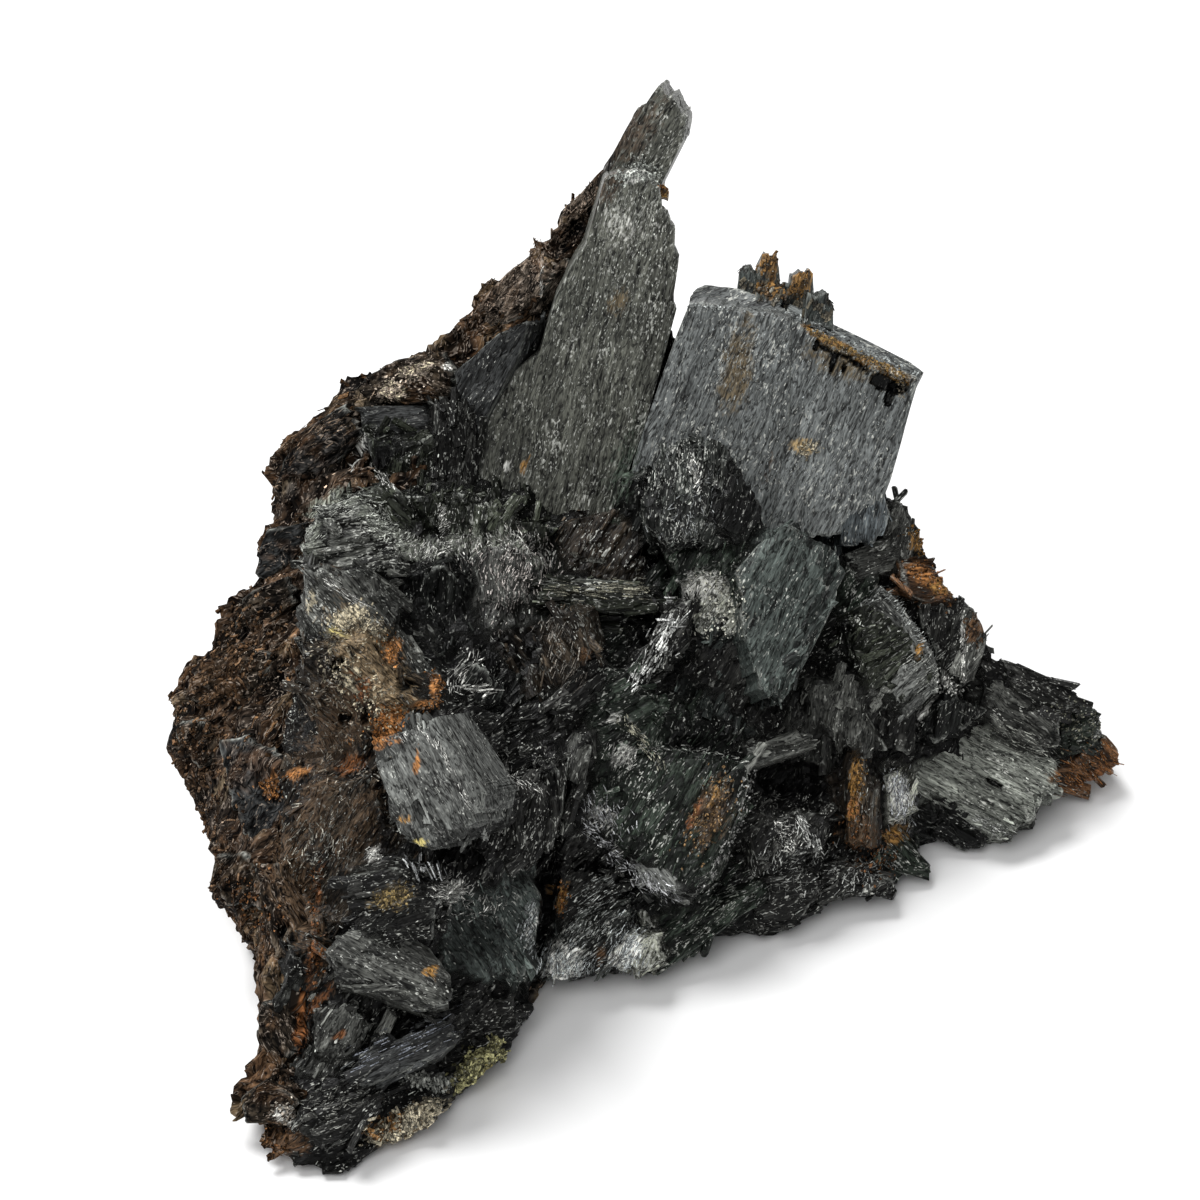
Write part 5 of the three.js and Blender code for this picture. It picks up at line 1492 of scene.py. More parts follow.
@dataclass(frozen=True)
class RockFinish:
    """The host rock's material: brown earth with pale flecks and rust."""

    name: str
    roughness: float = 0.8
    bump: float = 0.9
    bump_height: float = 0.0006
    fleck: Rgba = (0.40, 0.33, 0.27, 1)
    rust: Rgba = (0.11, 0.055, 0.024, 1)
    shine: float = 0.06

    def material(self, group: bpy.types.NodeTree) -> bpy.types.Material:
        """The tint in darker and lighter patches that follow the bumps, painted shade in their lows and
        painted light on their highs, darkened in the pits and cracks as painted shade, with rust and pale
        flecks over it.
        """
        coat = Coat(self.name, group)
        graph, marks = coat.graph, coat.marks
        rusty = graph.mix(graph.times(marks["Rust"], 0.35), coat.tint, self.rust)
        base = graph.mix(marks["Covered"], rusty, coat.stain_and_shade)
        # Painted shade and light: the patches that raise the bumps darken and lighten the colour; pits and
        # cracks darken it.
        shade = graph.math("POWER", graph.range(marks["Patch"], 0.34, 0.66), 2.0)
        shade = graph.range(shade, 0, 1, 0.08, 4.0)
        shade = graph.times(shade, graph.range(marks["Pit"], 0, 1, 1, 0.15))
        colour = graph.mix(marks["Fleck"], coat.scaled(base, shade), self.fleck)
        graph.link(colour, coat.shader.inputs["Base Color"])
        coat.raise_bumps(self.bump, self.bump_height)
        coat.shader.inputs["Roughness"].default_value = self.roughness
        coat.shader.inputs["Specular IOR Level"].default_value = self.shine
        return coat.material


# The specimen's sub-assemblies


def dress_seats(parts: Parts, seats: list[Seat], size: Fineness, painter: Painter, first_seed: float) -> None:
    """Adds the shells of some crystals, each with its look's colour, its painted facet light, its pale worn
    rims with a painted highlight, and the stains and the painted shade of the pits.
    """
    for number, seat in enumerate(seats):
        seed = first_seed + number * SEED_STEP
        points, triangles, grain, painted_facet_light, border = crystal_shell(seat, size, seed)
        finish = seat.crystal.look.value
        shade = (1 + 0.3 * (scatter(seed) - 0.5) + 0.35 * noise(points, 5, seed)) * painted_facet_light
        tint = np.ones((len(points), 4)) * finish.fleck * (1 + 0.5 * noise(points, 8, seed + 2))[:, None]
        tint[:, :3] = np.array(finish.colour) * shade[:, None]
        # Pale worn rims with a painted highlight, near the edges.
        rim = border * finish.rim * np.clip(0.5 + 1.2 * noise(points, 2.3, seed + 5), 0, 1)
        tint[:, :3] += (np.array(PALE_WEAR_AND_HIGHLIGHT) - tint[:, :3]) * rim[:, None]
        # The stains, and the painted shade that blackens the pits.
        points, stain_and_shade = painter.sink(points, painter.lay(points))
        parts.add(points, triangles, grain, tint, stain_and_shade)


@dataclass(frozen=True)
class Trail:
    """Small fibres or grains laid along a line of the sheet.

    width is how far they spread from the line in sheet units, size half their width, length and height, turn
    their direction on the sheet in degrees and wander how much they leave it.
    """

    path: tuple[tuple[float, float], ...]
    width: float
    count: int
    size: tuple[float, float, float]
    colour: tuple[float, float, float]
    turn: float = 0.0
    wander: float = 0.9


FIBRE = (0.10, 0.85, 0.09)
THREAD = (0.09, 1.4, 0.08)
GRAIN = (0.26, 0.36, 0.12)
DASH = (0.09, 0.45, 0.05)
LUMP = (0.45, 1.0, 0.4)
FLAKE = (0.40, 0.95, 0.22)

MASS_TRAILS = tuple(Trail(*row) for row in (
    # The pale crust at the upper left and the speckled fibres beside it.
    (
        ((307, 545), (309, 515), (325, 502), (345, 497), (362, 501), (385, 530), (402, 546)),
        20, 700, FIBRE, (0.50, 0.52, 0.47), 30),
    (
        ((402, 546), (430, 550), (470, 541), (502, 540), (532, 546), (548, 565)),
        16, 420, FIBRE, WHITE, 60),
    (((480, 560), (535, 562), (500, 605)), 40, 420, FIBRE, (0.50, 0.46, 0.43), 85, 0.5),
    (((355, 432), (364, 465), (385, 478), (400, 490)), 7, 130, FIBRE, WHITE, -60, 0.6),
    (((440, 508), (446, 530)), 8, 60, FIBRE, WHITE, 70, 0.5),
    (((325, 580), (365, 605)), 6, 60, THREAD, WHITE, -32, 0.2),
    (((330, 632), (362, 614), (380, 640)), 18, 260, GRAIN, CREAM, 20),
    # The rusty hollows at the left.
    (((388, 640), (396, 664)), 12, 90, GRAIN, PEACH, 60),
    (((330, 655), (372, 700), (388, 726)), 30, 300, GRAIN, CREAM, 60),
    (((428, 672), (442, 684), (436, 704), (418, 708)), 7, 120, GRAIN, ORANGE, 60),
    (((384, 742), (378, 716), (404, 712)), 14, 160, GRAIN, (0.42, 0.17, 0.05), 60),
    (((318, 640), (340, 690), (330, 750), (352, 790)), 40, 260, FIBRE, (0.34, 0.30, 0.24), 50),
    # The middle.
    (((449, 690), (476, 654)), 16, 80, THREAD, WHITE, 55, 0.2),
    (((452, 688), (500, 690)), 10, 30, (0.2, 2.0, 0.18), WHITE, 4, 0.12),
    (((676, 618), (636, 684)), 16, 150, (0.18, 1.3, 0.18), (0.72, 0.73, 0.70), 56, 0.3),
    (((666, 592), (674, 640)), 12, 16, (0.2, 1.5, 0.2), (0.75, 0.76, 0.74), -4, 0.1),
    (((690, 582), (728, 586), (735, 618), (700, 624)), 28, 200, GRAIN, (0.70, 0.70, 0.60), 60),
    (((620, 715), (662, 766)), 8, 90, FIBRE, (0.45, 0.44, 0.34), -50, 0.3),
    (((612, 750), (634, 762)), 14, 110, FIBRE, WHITE, 50, 0.6),
    (((500, 750), (516, 782), (545, 792)), 8, 70, FIBRE, WHITE, -50, 0.5),
    (((395, 742), (420, 730), (440, 748), (474, 812)), 4, 90, FIBRE, WHITE, -62, 0.3),
    (((406, 862), (440, 872)), 8, 22, (0.22, 2.1, 0.2), (0.62, 0.64, 0.64), -68, 0.1),
    (((368, 850), (380, 860)), 6, 50, FIBRE, WHITE, 30, 0.8),
    (((450, 905), (500, 905)), 24, 90, FIBRE, WHITE, 30),
    (((665, 480), (712, 480), (706, 520), (665, 522)), 34, 150, FIBRE, (0.20, 0.21, 0.21), 80),
    (((690, 462), (700, 486)), 8, 60, FIBRE, WHITE, 80),
    (((560, 590), (650, 588)), 14, 150, THREAD, (0.32, 0.31, 0.24), -3, 0.1),
    (((550, 625), (575, 680)), 20, 120, THREAD, (0.34, 0.31, 0.27), 66, 0.15),
    (((800, 480), (830, 490)), 30, 90, FIBRE, (0.4, 0.42, 0.42), 70, 0.5),
    # The front crystal.
    (((588, 828), (620, 862), (642, 882), (676, 896)), 13, 260, FIBRE, (0.55, 0.56, 0.57), -42, 0.5),
    (((592, 806), (616, 826)), 26, 140, FIBRE, (0.50, 0.51, 0.52), -50, 0.5),
    (((752, 772), (738, 824), (716, 872), (700, 890)), 9, 190, GRAIN, (0.50, 0.50, 0.48), 60),
    (((728, 780), (712, 815), (694, 850)), 24, 200, GRAIN, (0.24, 0.15, 0.07), 60),
    (((612, 756), (640, 748), (700, 748), (748, 762)), 4, 90, FIBRE, (0.4, 0.41, 0.38), -5, 0.3),
    # The lower edge.
    (((628, 930), (625, 972)), 22, 300, FIBRE, (0.62, 0.66, 0.66), 60, 0.4),
    (((546, 962), (586, 972)), 26, 380, FIBRE, (0.62, 0.66, 0.66), 66, 0.4),
    (((606, 888), (572, 950)), 34, 260, FIBRE, (0.42, 0.44, 0.42), 42, 0.3),
    (((563, 884), (562, 912)), 7, 60, GRAIN, ORANGE, 80, 0.4),
    (((745, 880), (800, 862), (890, 884)), 44, 380, FIBRE, (0.40, 0.41, 0.39), 60),
    (((800, 815), (810, 842), (824, 852)), 7, 130, FIBRE, (0.66, 0.67, 0.64), -60, 0.5),
    (((780, 822), (792, 850)), 12, 90, FIBRE, WHITE, -50, 0.8),
    (((897, 776), (905, 820)), 17, 260, FIBRE, (0.56, 0.58, 0.60), 84, 0.5),
    (((700, 910), (745, 892)), 30, 110, FIBRE, (0.3, 0.32, 0.28), 40, 0.2),
    (((532, 905), (528, 950)), 12, 130, FIBRE, (0.34, 0.36, 0.36), 66, 0.3),
    # The right side.
    (
        ((866, 606), (880, 590), (896, 600), (912, 626), (934, 655)),
        8, 190, FIBRE, (0.44, 0.46, 0.44), 45, 0.5),
    (((905, 655), (938, 665), (925, 700)), 26, 160, THREAD, (0.36, 0.37, 0.34), 40, 0.15),
    (((914, 532), (930, 552)), 16, 160, GRAIN, OCHRE, 30),
    (((912, 566), (934, 582), (954, 596)), 15, 110, GRAIN, ORANGE, -30),
    (((970, 620), (980, 642)), 12, 60, GRAIN, BROWN, -30),
    (((962, 612), (964, 680)), 5, 90, FIBRE, WHITE, 88, 0.4),
    (((940, 680), (958, 690)), 10, 110, GRAIN, WHITE, 88, 0.8),
    (((1064, 712), (1100, 740)), 26, 150, GRAIN, (0.2, 0.2, 0.15), 10, 0.8),
    (((1064, 780), (1118, 758)), 22, 200, THREAD, (0.26, 0.11, 0.035), -36, 0.3),
    (((862, 758), (852, 822)), 8, 150, GRAIN, OCHRE, 85, 0.6),
    (((858, 830), (885, 868)), 30, 190, GRAIN, (0.20, 0.09, 0.035), 60),
    (((980, 730), (1052, 770)), 40, 150, THREAD, (0.36, 0.37, 0.33), -28, 0.1),
    (((962, 815), (1012, 836)), 14, 90, FIBRE, (0.34, 0.35, 0.33), -28, 0.3),
    # The leg.
    (((350, 945), (438, 985)), 50, 90, DASH, (0.30, 0.31, 0.29), -20, 0.5),
    (((436, 890), (464, 890)), 18, 190, FIBRE, WHITE, 20, 0.8),
    (((378, 902), (410, 894)), 14, 170, GRAIN, (0.26, 0.19, 0.08), 20),
    (((312, 870), (318, 960), (302, 1030)), 10, 160, GRAIN, (0.17, 0.07, 0.025), 88),
    (((462, 1080), (480, 1062), (500, 1050)), 20, 340, FLAKE, (0.42, 0.40, 0.20), 60),
    (((410, 1078), (450, 1084)), 12, 130, FLAKE, (0.34, 0.35, 0.32), -20),
    (((374, 1140), (405, 1126), (440, 1106)), 18, 420, FLAKE, (0.55, 0.49, 0.36), 40),
    (((372, 1134), (398, 1122)), 12, 110, FLAKE, (0.30, 0.16, 0.06), 40),
    (((300, 1100), (340, 1110), (360, 1090)), 26, 120, FIBRE, (0.3, 0.3, 0.27), 20),
    (((356, 1060), (450, 1024)), 20, 70, THREAD, (0.26, 0.28, 0.32), 25, 0.08),
    (((330, 830), (300, 870)), 50, 150, FIBRE, (0.4, 0.38, 0.32), 50),
))

ROCK_TRAILS = tuple(Trail(*row) for row in (
    (((402, 376), (432, 366), (416, 380)), 14, 190, GRAIN, (0.52, 0.44, 0.36), 20),
    (((384, 398), (400, 384)), 16, 150, GRAIN, (0.50, 0.42, 0.34), 20),
    (((444, 366), (451, 368)), 3, 20, GRAIN, WHITE, 20),
    (((470, 330), (500, 290), (560, 215), (600, 185)), 30, 620, FIBRE, (0.36, 0.28, 0.22), 55),
    (((541, 265), (541, 296)), 3, 24, FIBRE, WHITE, 85, 0.2),
    (((270, 455), (330, 415), (350, 400)), 30, 190, THREAD, (0.24, 0.18, 0.13), 30, 0.3),
    (((262, 780), (275, 795)), 10, 90, GRAIN, ORANGE, 80),
    (((282, 774), (310, 770)), 9, 110, GRAIN, ORANGE, 0),
    (((262, 620), (230, 680), (200, 740)), 60, 300, FLAKE, (0.15, 0.09, 0.05), 50),
    (((180, 700), (200, 790), (225, 880)), 44, 220, FLAKE, (0.12, 0.075, 0.045), 60),
    (((255, 640), (290, 700), (280, 760)), 50, 260, FIBRE, (0.36, 0.30, 0.24), 60),
    (((240, 880), (262, 930)), 30, 130, GRAIN, (0.22, 0.10, 0.04), 60),
    (((280, 1110), (296, 1122)), 18, 110, GRAIN, (0.42, 0.38, 0.32), 20),
    (((254, 1140), (296, 1155)), 26, 130, GRAIN, (0.20, 0.10, 0.045), 20),
))

TOP_TRAILS = tuple(Trail(*row) for row in (
    (((600, 192), (640, 196), (652, 255), (598, 262)), 44, 420, DASH, (0.50, 0.52, 0.47), 76, 0.25),
    (((560, 300), (650, 300)), 60, 260, DASH, (0.40, 0.42, 0.38), 76, 0.25),
    (((520, 390), (620, 390)), 70, 260, DASH, (0.36, 0.38, 0.34), 74, 0.25),
    (((700, 340), (860, 400)), 60, 420, DASH, (0.40, 0.43, 0.43), 68, 0.2),
    (((760, 480), (870, 470)), 34, 160, DASH, (0.36, 0.38, 0.39), 68, 0.2),
    (((738, 282), (760, 290), (800, 300), (835, 314)), 12, 60, LUMP, (0.16, 0.14, 0.10), 68, 0.3),
    (((758, 290), (786, 292)), 8, 26, LUMP, OCHRE, 60, 0.4),
    (((762, 270), (774, 256)), 9, 26, LUMP, OCHRE, 68, 0.3),
    (((796, 296), (806, 272)), 9, 30, LUMP, OCHRE, 70, 0.3),
    (((618, 178), (638, 168), (656, 178)), 12, 300, GRAIN, (0.55, 0.58, 0.53), 20),
    (((506, 365), (496, 380), (486, 404)), 7, 110, GRAIN, (0.42, 0.43, 0.40), 60),
    (((662, 186), (665, 192)), 5, 30, GRAIN, PEACH, 60),
    (((676, 96), (688, 118), (686, 138)), 4, 60, FIBRE, (0.5, 0.51, 0.48), 60, 0.3),
    (((808, 330), (850, 350), (905, 378)), 7, 260, GRAIN, (0.36, 0.23, 0.08), -22),
    (((870, 366), (905, 378), (900, 396)), 9, 110, GRAIN, (0.50, 0.44, 0.34), -22),
    (
        ((690, 306), (745, 309), (792, 314), (840, 336), (918, 374)),
        4, 260, GRAIN, (0.42, 0.45, 0.44), 0),
    (((738, 275), (746, 262)), 5, 14, (0.12, 1.2, 0.12), (0.05, 0.045, 0.035), 110, 0.4),
    (((826, 296), (834, 312)), 4, 14, (0.12, 1.2, 0.12), (0.05, 0.045, 0.035), 80, 0.4),
    (((800, 452), (814, 446)), 10, 60, GRAIN, CREAM, 0),
))


@dataclass(frozen=True)
class Litter:
    """Small pieces scattered over a surface along the grain.

    size is the largest half width, half length and half height, light how much lighter they are than what
    carries them, wander how far they turn from the grain, and sunk the share of their height that is buried.
    """

    count: int
    size: tuple[float, float, float]
    seed: int
    light: float = 1.0
    wander: float = 0.2
    sunk: float = 0.3
    six_sided: bool = False
    smallest: float = 0.3
    colour: tuple[float, float, float] | None = None


CLEAR_OF_FOOT = 2


def add_litter(
    parts: Parts, surface: Surface, busy: Array, seats: list[Seat], litter: Litter, painter: Painter
) -> None:
    """Scatters small prisms or splinters over a surface, lying along the grain of the nearest crystal.

    Args:
        parts: where they are added.
        surface: what they lie on.
        busy: for each triangle of the surface, how densely it is covered.
        seats: the crystals.
        litter: what is scattered.
        painter: lays the stains.
    """
    draw = np.random.default_rng(litter.seed)
    count = litter.count
    corner, first, second = surface.edges()
    cross = np.cross(first, second)
    normals = unit(cross)
    clump = np.clip(0.35 + 1.3 * noise(corner, 9, litter.seed), 0.05, 1)
    seen = (normals @ SIGHT.towards > -0.1) * (corner[:, 2] > CLEAR_OF_FOOT)
    weight = np.linalg.norm(cross, axis=1) * busy * clump * seen
    chosen = draw.choice(len(weight), count, p=weight / weight.sum())
    u, v = draw.random((2, count))
    fold = u + v > 1
    u, v = np.where(fold, 1 - u, u)[:, None], np.where(fold, 1 - v, v)[:, None]
    spots = corner[chosen] + first[chosen] * u + second[chosen] * v
    normal = normals[chosen]
    which = nearest_seats(spots, seats)
    bend = np.stack([noise(spots, 3.5, litter.seed + axis) for axis in range(3)], 1)
    astray = litter.wander * (1.5 * bend + draw.normal(0, 0.4, (count, 3)))
    along = np.stack([seat.along for seat in seats])[which] + astray
    along = unit(along - normal * (along * normal).sum(1, keepdims=True) * 0.85)
    sizes = np.array(litter.size) * (litter.smallest + (1 - litter.smallest) * draw.random((count, 3)) ** 1.5)
    spots = spots - normal * (sizes[:, 2:] * litter.sunk)
    shells = prism_shells if litter.six_sided else box_shells
    points, triangles = shells(Places(spots, along, normal, sizes), litter.seed)
    number = np.repeat(np.arange(count), len(points) // count)
    looks = [seat.crystal.look.value for seat in seats]
    tint = np.array([(*look.colour, look.fleck) for look in looks])[which][number]
    if litter.colour is not None:
        tint[:, :3] = litter.colour
    # Painted reflection: a scattered brightness for each piece, mostly dark and a few pale.
    tint[:, :3] *= (litter.light * (0.35 + 3.0 * draw.random(count) ** 4))[number][:, None]
    local = points - spots[number]
    across = unit(np.cross(along, normal))[number]
    axes = (across, along[number], normal[number])
    grain = np.stack([(local * axis).sum(1) for axis in axes], 1)
    parts.add(points, triangles, grain + 9.7 * number[:, None], tint, painter.lay(points))


def add_trails(parts: Parts, carrier: Carrier, trails: tuple[Trail, ...], seed: int) -> None:
    """Lays the fibres of some trails on a surface.

    A fibre's place is a random share of the way along the line, moved sideways by a normal spread, and it
    lies flat on the surface that is seen there. It takes no stain.

    Args:
        parts: where they are added.
        carrier: the surface.
        trails: the trails.
        seed: of the random draws.
    """
    draw = np.random.default_rng(seed)
    middles, normals, longs, sizes, colours = [], [], [], [], []
    for trail in trails:
        path = np.array(trail.path, float)
        legs = np.linalg.norm(np.diff(path, axis=0), axis=1)
        reach = np.concatenate(((0,), np.cumsum(legs))) / legs.sum()
        share = draw.random(trail.count)
        spread = draw.normal(0, trail.width / 2.6, (trail.count, 2))
        x = np.interp(share, reach, path[:, 0]) + spread[:, 0]
        y = np.interp(share, reach, path[:, 1]) + spread[:, 1]
        bend = noise(np.stack((x, y, 0 * x), 1), 16, seed)
        turn = np.radians(trail.turn) + trail.wander * (1.3 * bend + draw.normal(0, 0.45, trail.count))
        bulk = 0.4 + 0.8 * draw.random((trail.count, 3)) ** 1.6
        light = 0.12 + 1.0 * draw.random(trail.count) ** 1.8
        for number in range(trail.count):
            found = carrier.hit(x[number], y[number])
            if found is None:
                continue
            flat = SIGHT.right * np.cos(turn[number]) + SIGHT.up * np.sin(turn[number])
            middles.append(found[0])
            normals.append(found[1])
            longs.append(unit(flat - found[1] * (flat @ found[1])))
            sizes.append(np.array(trail.size) * bulk[number])
            colours.append(np.array(trail.colour) * light[number])
    lying = Places(*(np.array(column) for column in (middles, longs, normals, sizes)))
    points, triangles = box_shells(lying, seed)
    tint = np.repeat(np.column_stack((np.array(colours), np.full(len(colours), 0.3))), 8, axis=0)
    grain = points + np.repeat(np.arange(len(middles)), 8)[:, None] * 3.1
    parts.add(points, triangles, grain, tint, np.zeros((len(points), 4)))


ROCK_LITTER = (
    Litter(900, (1.0, 2.2, 0.7), 71, 1.0, 0.5, 0.55, True, 0.35, (0.042, 0.029, 0.020)),
    Litter(500, (0.7, 1.9, 0.5), 72, 1.0, 0.5, 0.4, True, 0.3, (0.090, 0.050, 0.024)),
    Litter(2600, (0.2, 0.9, 0.12), 73, 1.0, 0.7, 0.1, False, 0.3, (0.20, 0.15, 0.11)),
)
SMALL_CRYSTALS = (
    Litter(700, (1.5, 4.5, 1.1), 31, 1.0, 0.32, 0.35, True, 0.35),
    Litter(1300, (0.7, 2.6, 0.6), 32, 1.2, 0.28, 0.2, True, 0.3),
)
SPLINTERS = (
    Litter(4200, (0.30, 1.9, 0.24), 41, 1.4, 0.25, 0.1),
    Litter(3600, (0.13, 0.8, 0.10), 42, 1.0, 0.4, 0.0, colour=(0.22, 0.23, 0.21)),
)


@dataclass
class DarkMass:
    """The dark crystals that cross one another at the front."""

    carrier: Carrier
    painter: Painter
    node: str = "crystal_mass"
    voxel: float = 1.05
    set_back: float = 0.45
    size: Fineness = Fineness()
    upper_count: int = 35
    upper_seed: float = 3.1
    lower_seed: float = 103.7

    def build(self, material: bpy.types.Material) -> None:
        """Builds the broken ground between the crystals, the crystals and their splinters."""
        seats = [seat_of(crystal, self.carrier) for crystal in MASS_CRYSTALS]
        parts = Parts()
        parts.add(*self.ground(seats))
        surfaces = [parts.piece("mass_ground", material, self.node)]
        busy = [np.ones(len(surfaces[0].triangles))]
        upper, lower = seats[:self.upper_count], seats[self.upper_count:]
        for name, some, seed in (
            ("mass_crystals_upper", upper, self.upper_seed),
            ("mass_crystals_lower", lower, self.lower_seed),
        ):
            parts = Parts()
            dress_seats(parts, some, self.size, self.painter, seed)
            faces = parts.piece(name, material, self.node)
            surfaces.append(faces)
            calm = np.array([max(0.06, seat.crystal.look.value.rough - 0.4) for seat in some])
            busy.append(0.8 * calm[nearest_seats(faces.points[faces.triangles[:, 0]], some)])
        base, busy_base = joined(surfaces), np.concatenate(busy)
        for name, litters in (("mass_small_crystals", SMALL_CRYSTALS), ("mass_splinters", SPLINTERS)):
            parts = Parts()
            for litter in litters:
                add_litter(parts, base, busy_base, seats, litter, self.painter)
            surfaces.append(parts.piece(name, material, self.node))
        parts = Parts()
        add_trails(parts, Carrier(surfaces), MASS_TRAILS, 51)
        parts.piece("mass_fibres", material, self.node)

    def ground(self, seats: list[Seat]) -> tuple[Array, Array, Array, Array, Array]:
        """The solid in even faces, broken into steps along the nearest grain and set back a little. Its colour
        is 0.55 of its crystal's, painted darker as shade the deeper it lies behind a crystal's face, with a
        painted reflection in a scattered brightness for each step.
        """
        surface = remeshed(self.node, self.voxel)
        which = nearest_seats(surface.points, seats)
        normals = point_normals(surface)
        local = np.zeros_like(surface.points)
        tint = np.zeros((len(surface.points), 4))
        depth = np.zeros(len(surface.points))
        for number, seat in enumerate(seats):
            own = which == number
            place = seat.local(surface.points[own])
            depth[own] = place[:, 2]
            local[own] = place + GRAIN_APART * (self.upper_seed + number * SEED_STEP)
            finish = seat.crystal.look.value
            tint[own] = (*(0.55 * np.array(finish.colour)), 0.7 * finish.fleck)
        step = scatter(np.floor(local[:, 0] / 1.4), np.floor(local[:, 1] / 5), np.floor(local[:, 2] / 1.7))
        rough = noise(surface.points, 2.2, 3) * 0.4 + noise(surface.points, 1.0, 4) * 0.25
        points = surface.points + normals * (0.8 * (step - 0.5) + rough - self.set_back)[:, None]
        points[:, 2] = np.maximum(points[:, 2], 0)
        # Painted shade: the deeper behind a crystal's face, the darker.
        deep = np.clip(1.1 + depth / 3.5, 0.2, 1)
        # Painted reflection: a scattered brightness for each step.
        painted_facet_light = 0.4 + 1.8 * scatter(*np.floor(local.T / ((1.4,), (5,), (1.7,))) + 3) ** 2.5
        tint[:, :3] *= ((1 + 0.5 * noise(points, 3, 8)) * deep * painted_facet_light)[:, None]
        # The stains, and the painted shade that blackens the pits.
        points, stain_and_shade = self.painter.sink(points, self.painter.lay(points))
        return points, surface.triangles, local, tint, stain_and_shade


@dataclass
class HostRock:
    """The brown rock under, behind and to the left of the crystals."""

    carrier: Carrier
    painter: Painter
    node: str = "host_rock"
    voxel: float = 1.0
    lean: float = 50.0
    foot: float = 0.6
    cool: tuple[float, float, float] = (0.026, 0.023, 0.020)
    warm: tuple[float, float, float] = (0.058, 0.034, 0.019)
    size: Fineness = Fineness(pitch=0.45, step=0.5, splinter=1.1, segment=3.0, depth=0.9)

    def build(self, material: bpy.types.Material) -> None:
        """Builds the rock's ribbed body and the ledges and grains on its left side."""
        surface = remeshed(self.node, self.voxel)
        seats = [seat_of(crystal, self.carrier) for crystal in ROCK_BLOCKS]
        parts = Parts()
        parts.add(*self.body(surface, seats))
        surfaces = [parts.piece("rock_body", material, self.node)]
        parts = Parts()
        dress_seats(parts, seats, self.size, self.painter, 211.3)
        surfaces.append(parts.piece("rock_ledges", material, self.node))
        parts = Parts()
        free = 1 - 0.9 * behind(surface.points[surface.triangles[:, 0]], seats)
        for litter in ROCK_LITTER:
            add_litter(parts, surfaces[0], free, seats, litter, self.painter)
        surfaces.append(parts.surface())
        add_trails(parts, Carrier(surfaces), ROCK_TRAILS, 61)
        parts.piece("rock_grains", material, self.node)

    def body(self, surface: Surface, seats: list[Seat]) -> tuple[Array, Array, Array, Array, Array]:
        """The solid in even faces, moved and coloured by ribs.

        Ribs are one less twice the size of noise, which is stretched along a line that rises to the right.
        The valleys are painted dark as shade and the crests painted light, some crests turning tan as a
        painted highlight, and the colour goes from cool to warm with other noise. The foot stays flat.

        Args:
            surface: the solid in even faces.
            seats: the ledges, which the body stays behind.

        Returns:
            Points, triangles, grain places, tints and stains.
        """
        places = surface.points
        turn = np.radians(self.lean)
        along = SIGHT.right * np.cos(turn) + SIGHT.up * np.sin(turn)
        across = np.cross(along, SIGHT.towards)
        grain = places @ np.stack((across, along, SIGHT.towards), 1)
        layered = grain * (1, 0.45, 1)
        ribs = [1 - 2 * np.abs(noise(layered, cell, cell)) for cell in (6.5, 3.0, 1.5)]
        step = scatter(*np.floor(layered / 2.6 + 0.5 * noise(places, 4, 9)[:, None]).T)
        rise = 1.4 * (ribs[0] - 0.4) + 0.8 * (ribs[1] - 0.4) + 0.4 * (ribs[2] - 0.4) + 1.1 * (step - 0.6)
        set_back = 0.3 + 1.3 * behind(places, seats)
        points = places + point_normals(surface) * (rise - set_back)[:, None]
        level = places[:, 2] < self.foot
        points[level, 2] = places[level, 2]
        points[:, 2] = np.maximum(points[:, 2], 0)
        tint = np.ones((len(points), 4))
        tint[:, 3] = 0.5 + 0.4 * noise(points, 9, 4)
        # Painted shade in the valleys and painted light on the crests of the ribs.
        crest = np.clip(0.5 + 0.33 * rise + 0.15 * noise(points, 2.6, 6), 0, 1)[:, None]
        warmth = np.clip(0.5 + 0.9 * noise(points, 11, 5), 0, 1)[:, None]
        cool, warm = np.array(self.cool), np.array(self.warm)
        tint[:, :3] = (cool + (warm - cool) * warmth) * (0.08 + 1.5 * crest**2.2)
        # A tan painted highlight on some crests.
        pale = np.clip(4 * noise(points, 5, 12) - 1, 0, 1) * crest[:, 0]
        tint[:, :3] += (np.array(TAN) - tint[:, :3]) * (0.7 * pale)[:, None]
        return points, surface.triangles, grain, tint, self.painter.lay(points)


@dataclass
class LargeCrystals:
    """The tall blade and the broad block at the top."""

    carrier: Carrier
    painter: Painter
    size: Fineness = Fineness(pitch=0.30, step=0.6, splinter=0.9, segment=14.0, depth=0.45, lift=0.0)

    def build(self, tall: bpy.types.Material, block: bpy.types.Material) -> None:
        """Builds each crystal's faces with fine lines along them."""
        for name, crystals, material, node, seed in (
            ("tall_blade", TALL_CRYSTALS, tall, "tall_crystal", 301.9),
            ("broad_block", BLOCK_CRYSTALS, block, "block_crystal", 401.3),
        ):
            seats = [seat_of(crystal, self.carrier) for crystal in crystals]
            parts = Parts()
            dress_seats(parts, seats, self.size, self.painter, seed)
            add_trails(parts, Carrier([parts.surface()]), TOP_TRAILS, 81)
            parts.piece(name, material, node)


# The stage


@dataclass(frozen=True)
class Lamp:
    """A broad, distant light: the place it shines from, how wide it looks in degrees, and its power."""

    name: str
    place: tuple[float, float, float]
    width: float
    power: float


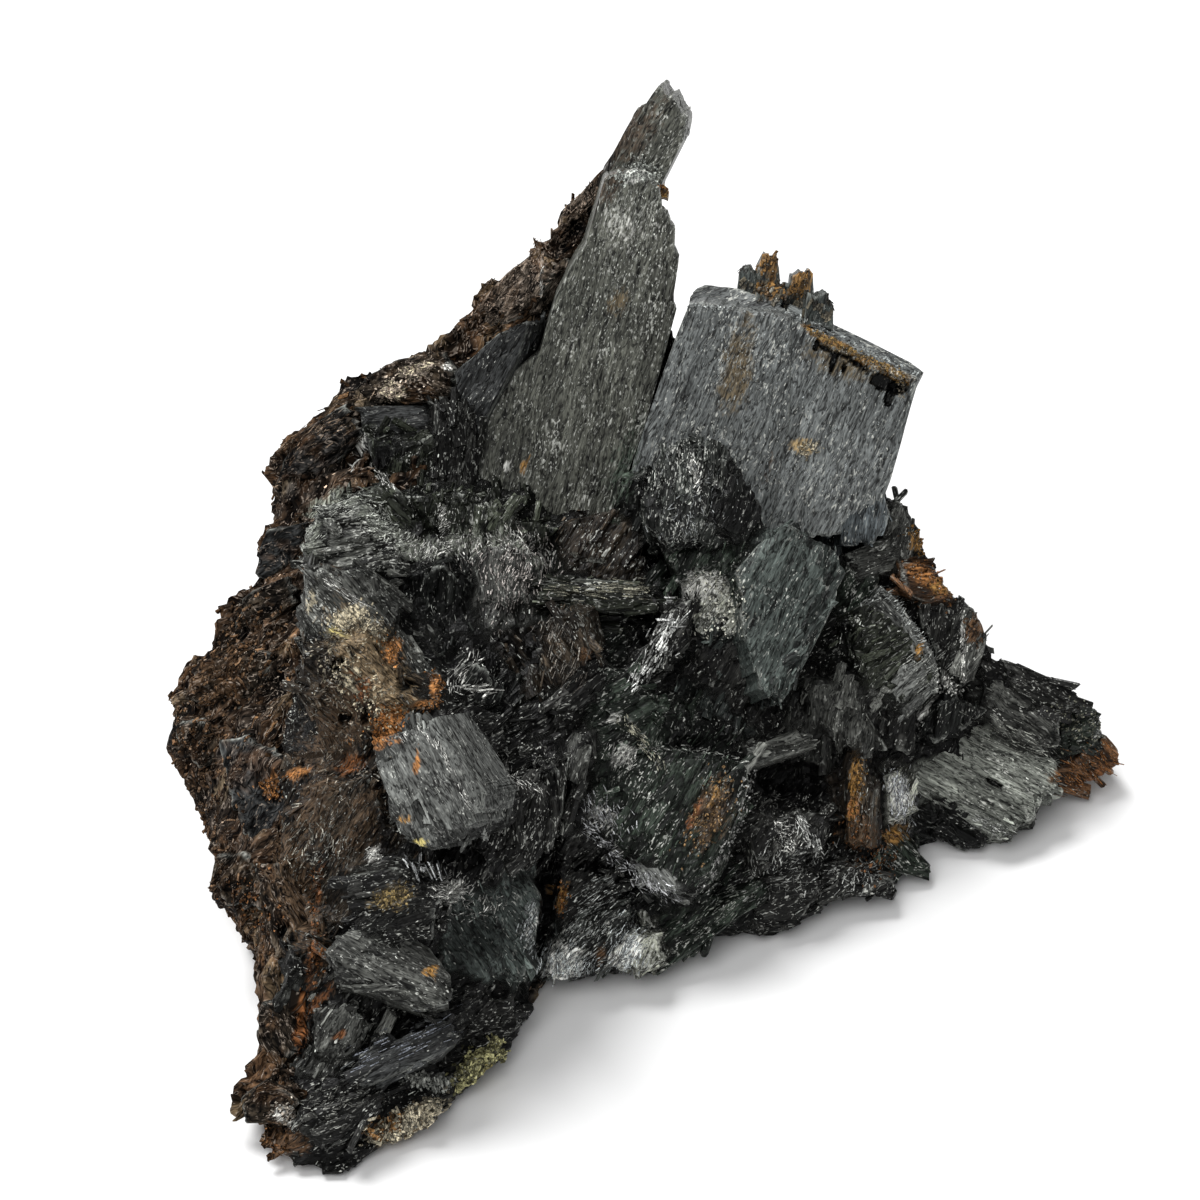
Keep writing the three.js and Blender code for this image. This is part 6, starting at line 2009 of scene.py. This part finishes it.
@dataclass(frozen=True)
class Stage:
    """The white floor, the soft lights and the camera."""

    floor_size: float = 8.0
    sensor: float = 36.0
    sheet_units: float = 1200.0
    sky: float = 0.32
    lamps: tuple[Lamp, ...] = (
        Lamp("Key light", (-0.4, 0.35, 1.0), 28, 2.9),
        Lamp("Front light", (-0.3, -0.55, 1.0), 40, 1.0),
    )

    def build(self) -> None:
        """Builds the floor, the lights and the camera."""
        self.floor()
        world = bpy.data.worlds.new("Studio")
        world.use_nodes = True
        world.node_tree.nodes["Background"].inputs["Color"].default_value = (1, 1, 1, 1)
        world.node_tree.nodes["Background"].inputs["Strength"].default_value = self.sky
        bpy.context.scene.world = world
        for lamp in self.lamps:
            self.light(lamp)
        self.camera()
        bpy.context.scene.view_settings.view_transform = "Standard"

    def floor(self) -> None:
        """A plain white floor at the height that the specimen stands on."""
        mesh = bpy.data.meshes.new("floor")
        half = self.floor_size / 2
        corners = [(-half, -half, 0), (half, -half, 0), (half, half, 0), (-half, half, 0)]
        mesh.from_pydata(corners, [], [(0, 1, 2, 3)])
        floor = bpy.data.objects.new("floor", mesh)
        bpy.context.scene.collection.objects.link(floor)
        material = bpy.data.materials.new("white floor")
        material.use_nodes = True
        shader = material.node_tree.nodes["Principled BSDF"]
        shader.inputs["Base Color"].default_value = (0.93, 0.93, 0.93, 1)
        shader.inputs["Roughness"].default_value = 0.9
        shader.inputs["Specular IOR Level"].default_value = 0.1
        mesh.materials.append(material)

    def light(self, lamp: Lamp) -> None:
        """One soft light that shines from its place towards the origin."""
        data = bpy.data.lights.new(lamp.name, "SUN")
        data.angle = np.radians(lamp.width)
        data.energy = lamp.power
        light = bpy.data.objects.new(lamp.name, data)
        light.location = lamp.place
        light.rotation_euler = (-Vector(lamp.place)).to_track_quat("-Z", "Y").to_euler()
        bpy.context.scene.collection.objects.link(light)

    def camera(self) -> None:
        """The camera at the eye, with a lens that takes in the whole sheet."""
        data = bpy.data.cameras.new("Camera")
        data.sensor_width = self.sensor
        data.lens = self.sensor * SIGHT.distance / (self.sheet_units * SIGHT.mm_per_unit)
        data.clip_start = 0.05
        camera = bpy.data.objects.new("Camera", data)
        camera.location = Vector(SIGHT.eye * MM)
        camera.rotation_euler = (np.radians(90 - SIGHT.elevation), 0, 0)
        bpy.context.scene.collection.objects.link(camera)
        bpy.context.scene.camera = camera


def main() -> None:
    """Builds the stage, the rock and the crystals in order."""
    logging.basicConfig(level=logging.INFO, format="%(message)s")
    Stage().build()
    carrier = Carrier([merged_surface(node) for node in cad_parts])
    painter = Painter(carrier)
    grain = crystal_grain_group()
    rock = RockFinish("host rock").material(rock_grain_group())
    dark = CrystalFinish("dark amphibole").material(grain)
    tall = CrystalFinish("grey green amphibole", 0.05, 2.4, (0.3, 0.5), 0.7, shine=0.2).material(grain)
    block = CrystalFinish("blue grey amphibole", 0.1, 2.2, (0.35, 0.55), 0.6, shine=0.2).material(grain)
    HostRock(carrier, painter).build(rock)
    DarkMass(carrier, painter).build(dark)
    LargeCrystals(carrier, painter).build(tall, block)


if __name__ == "__main__":
    main()
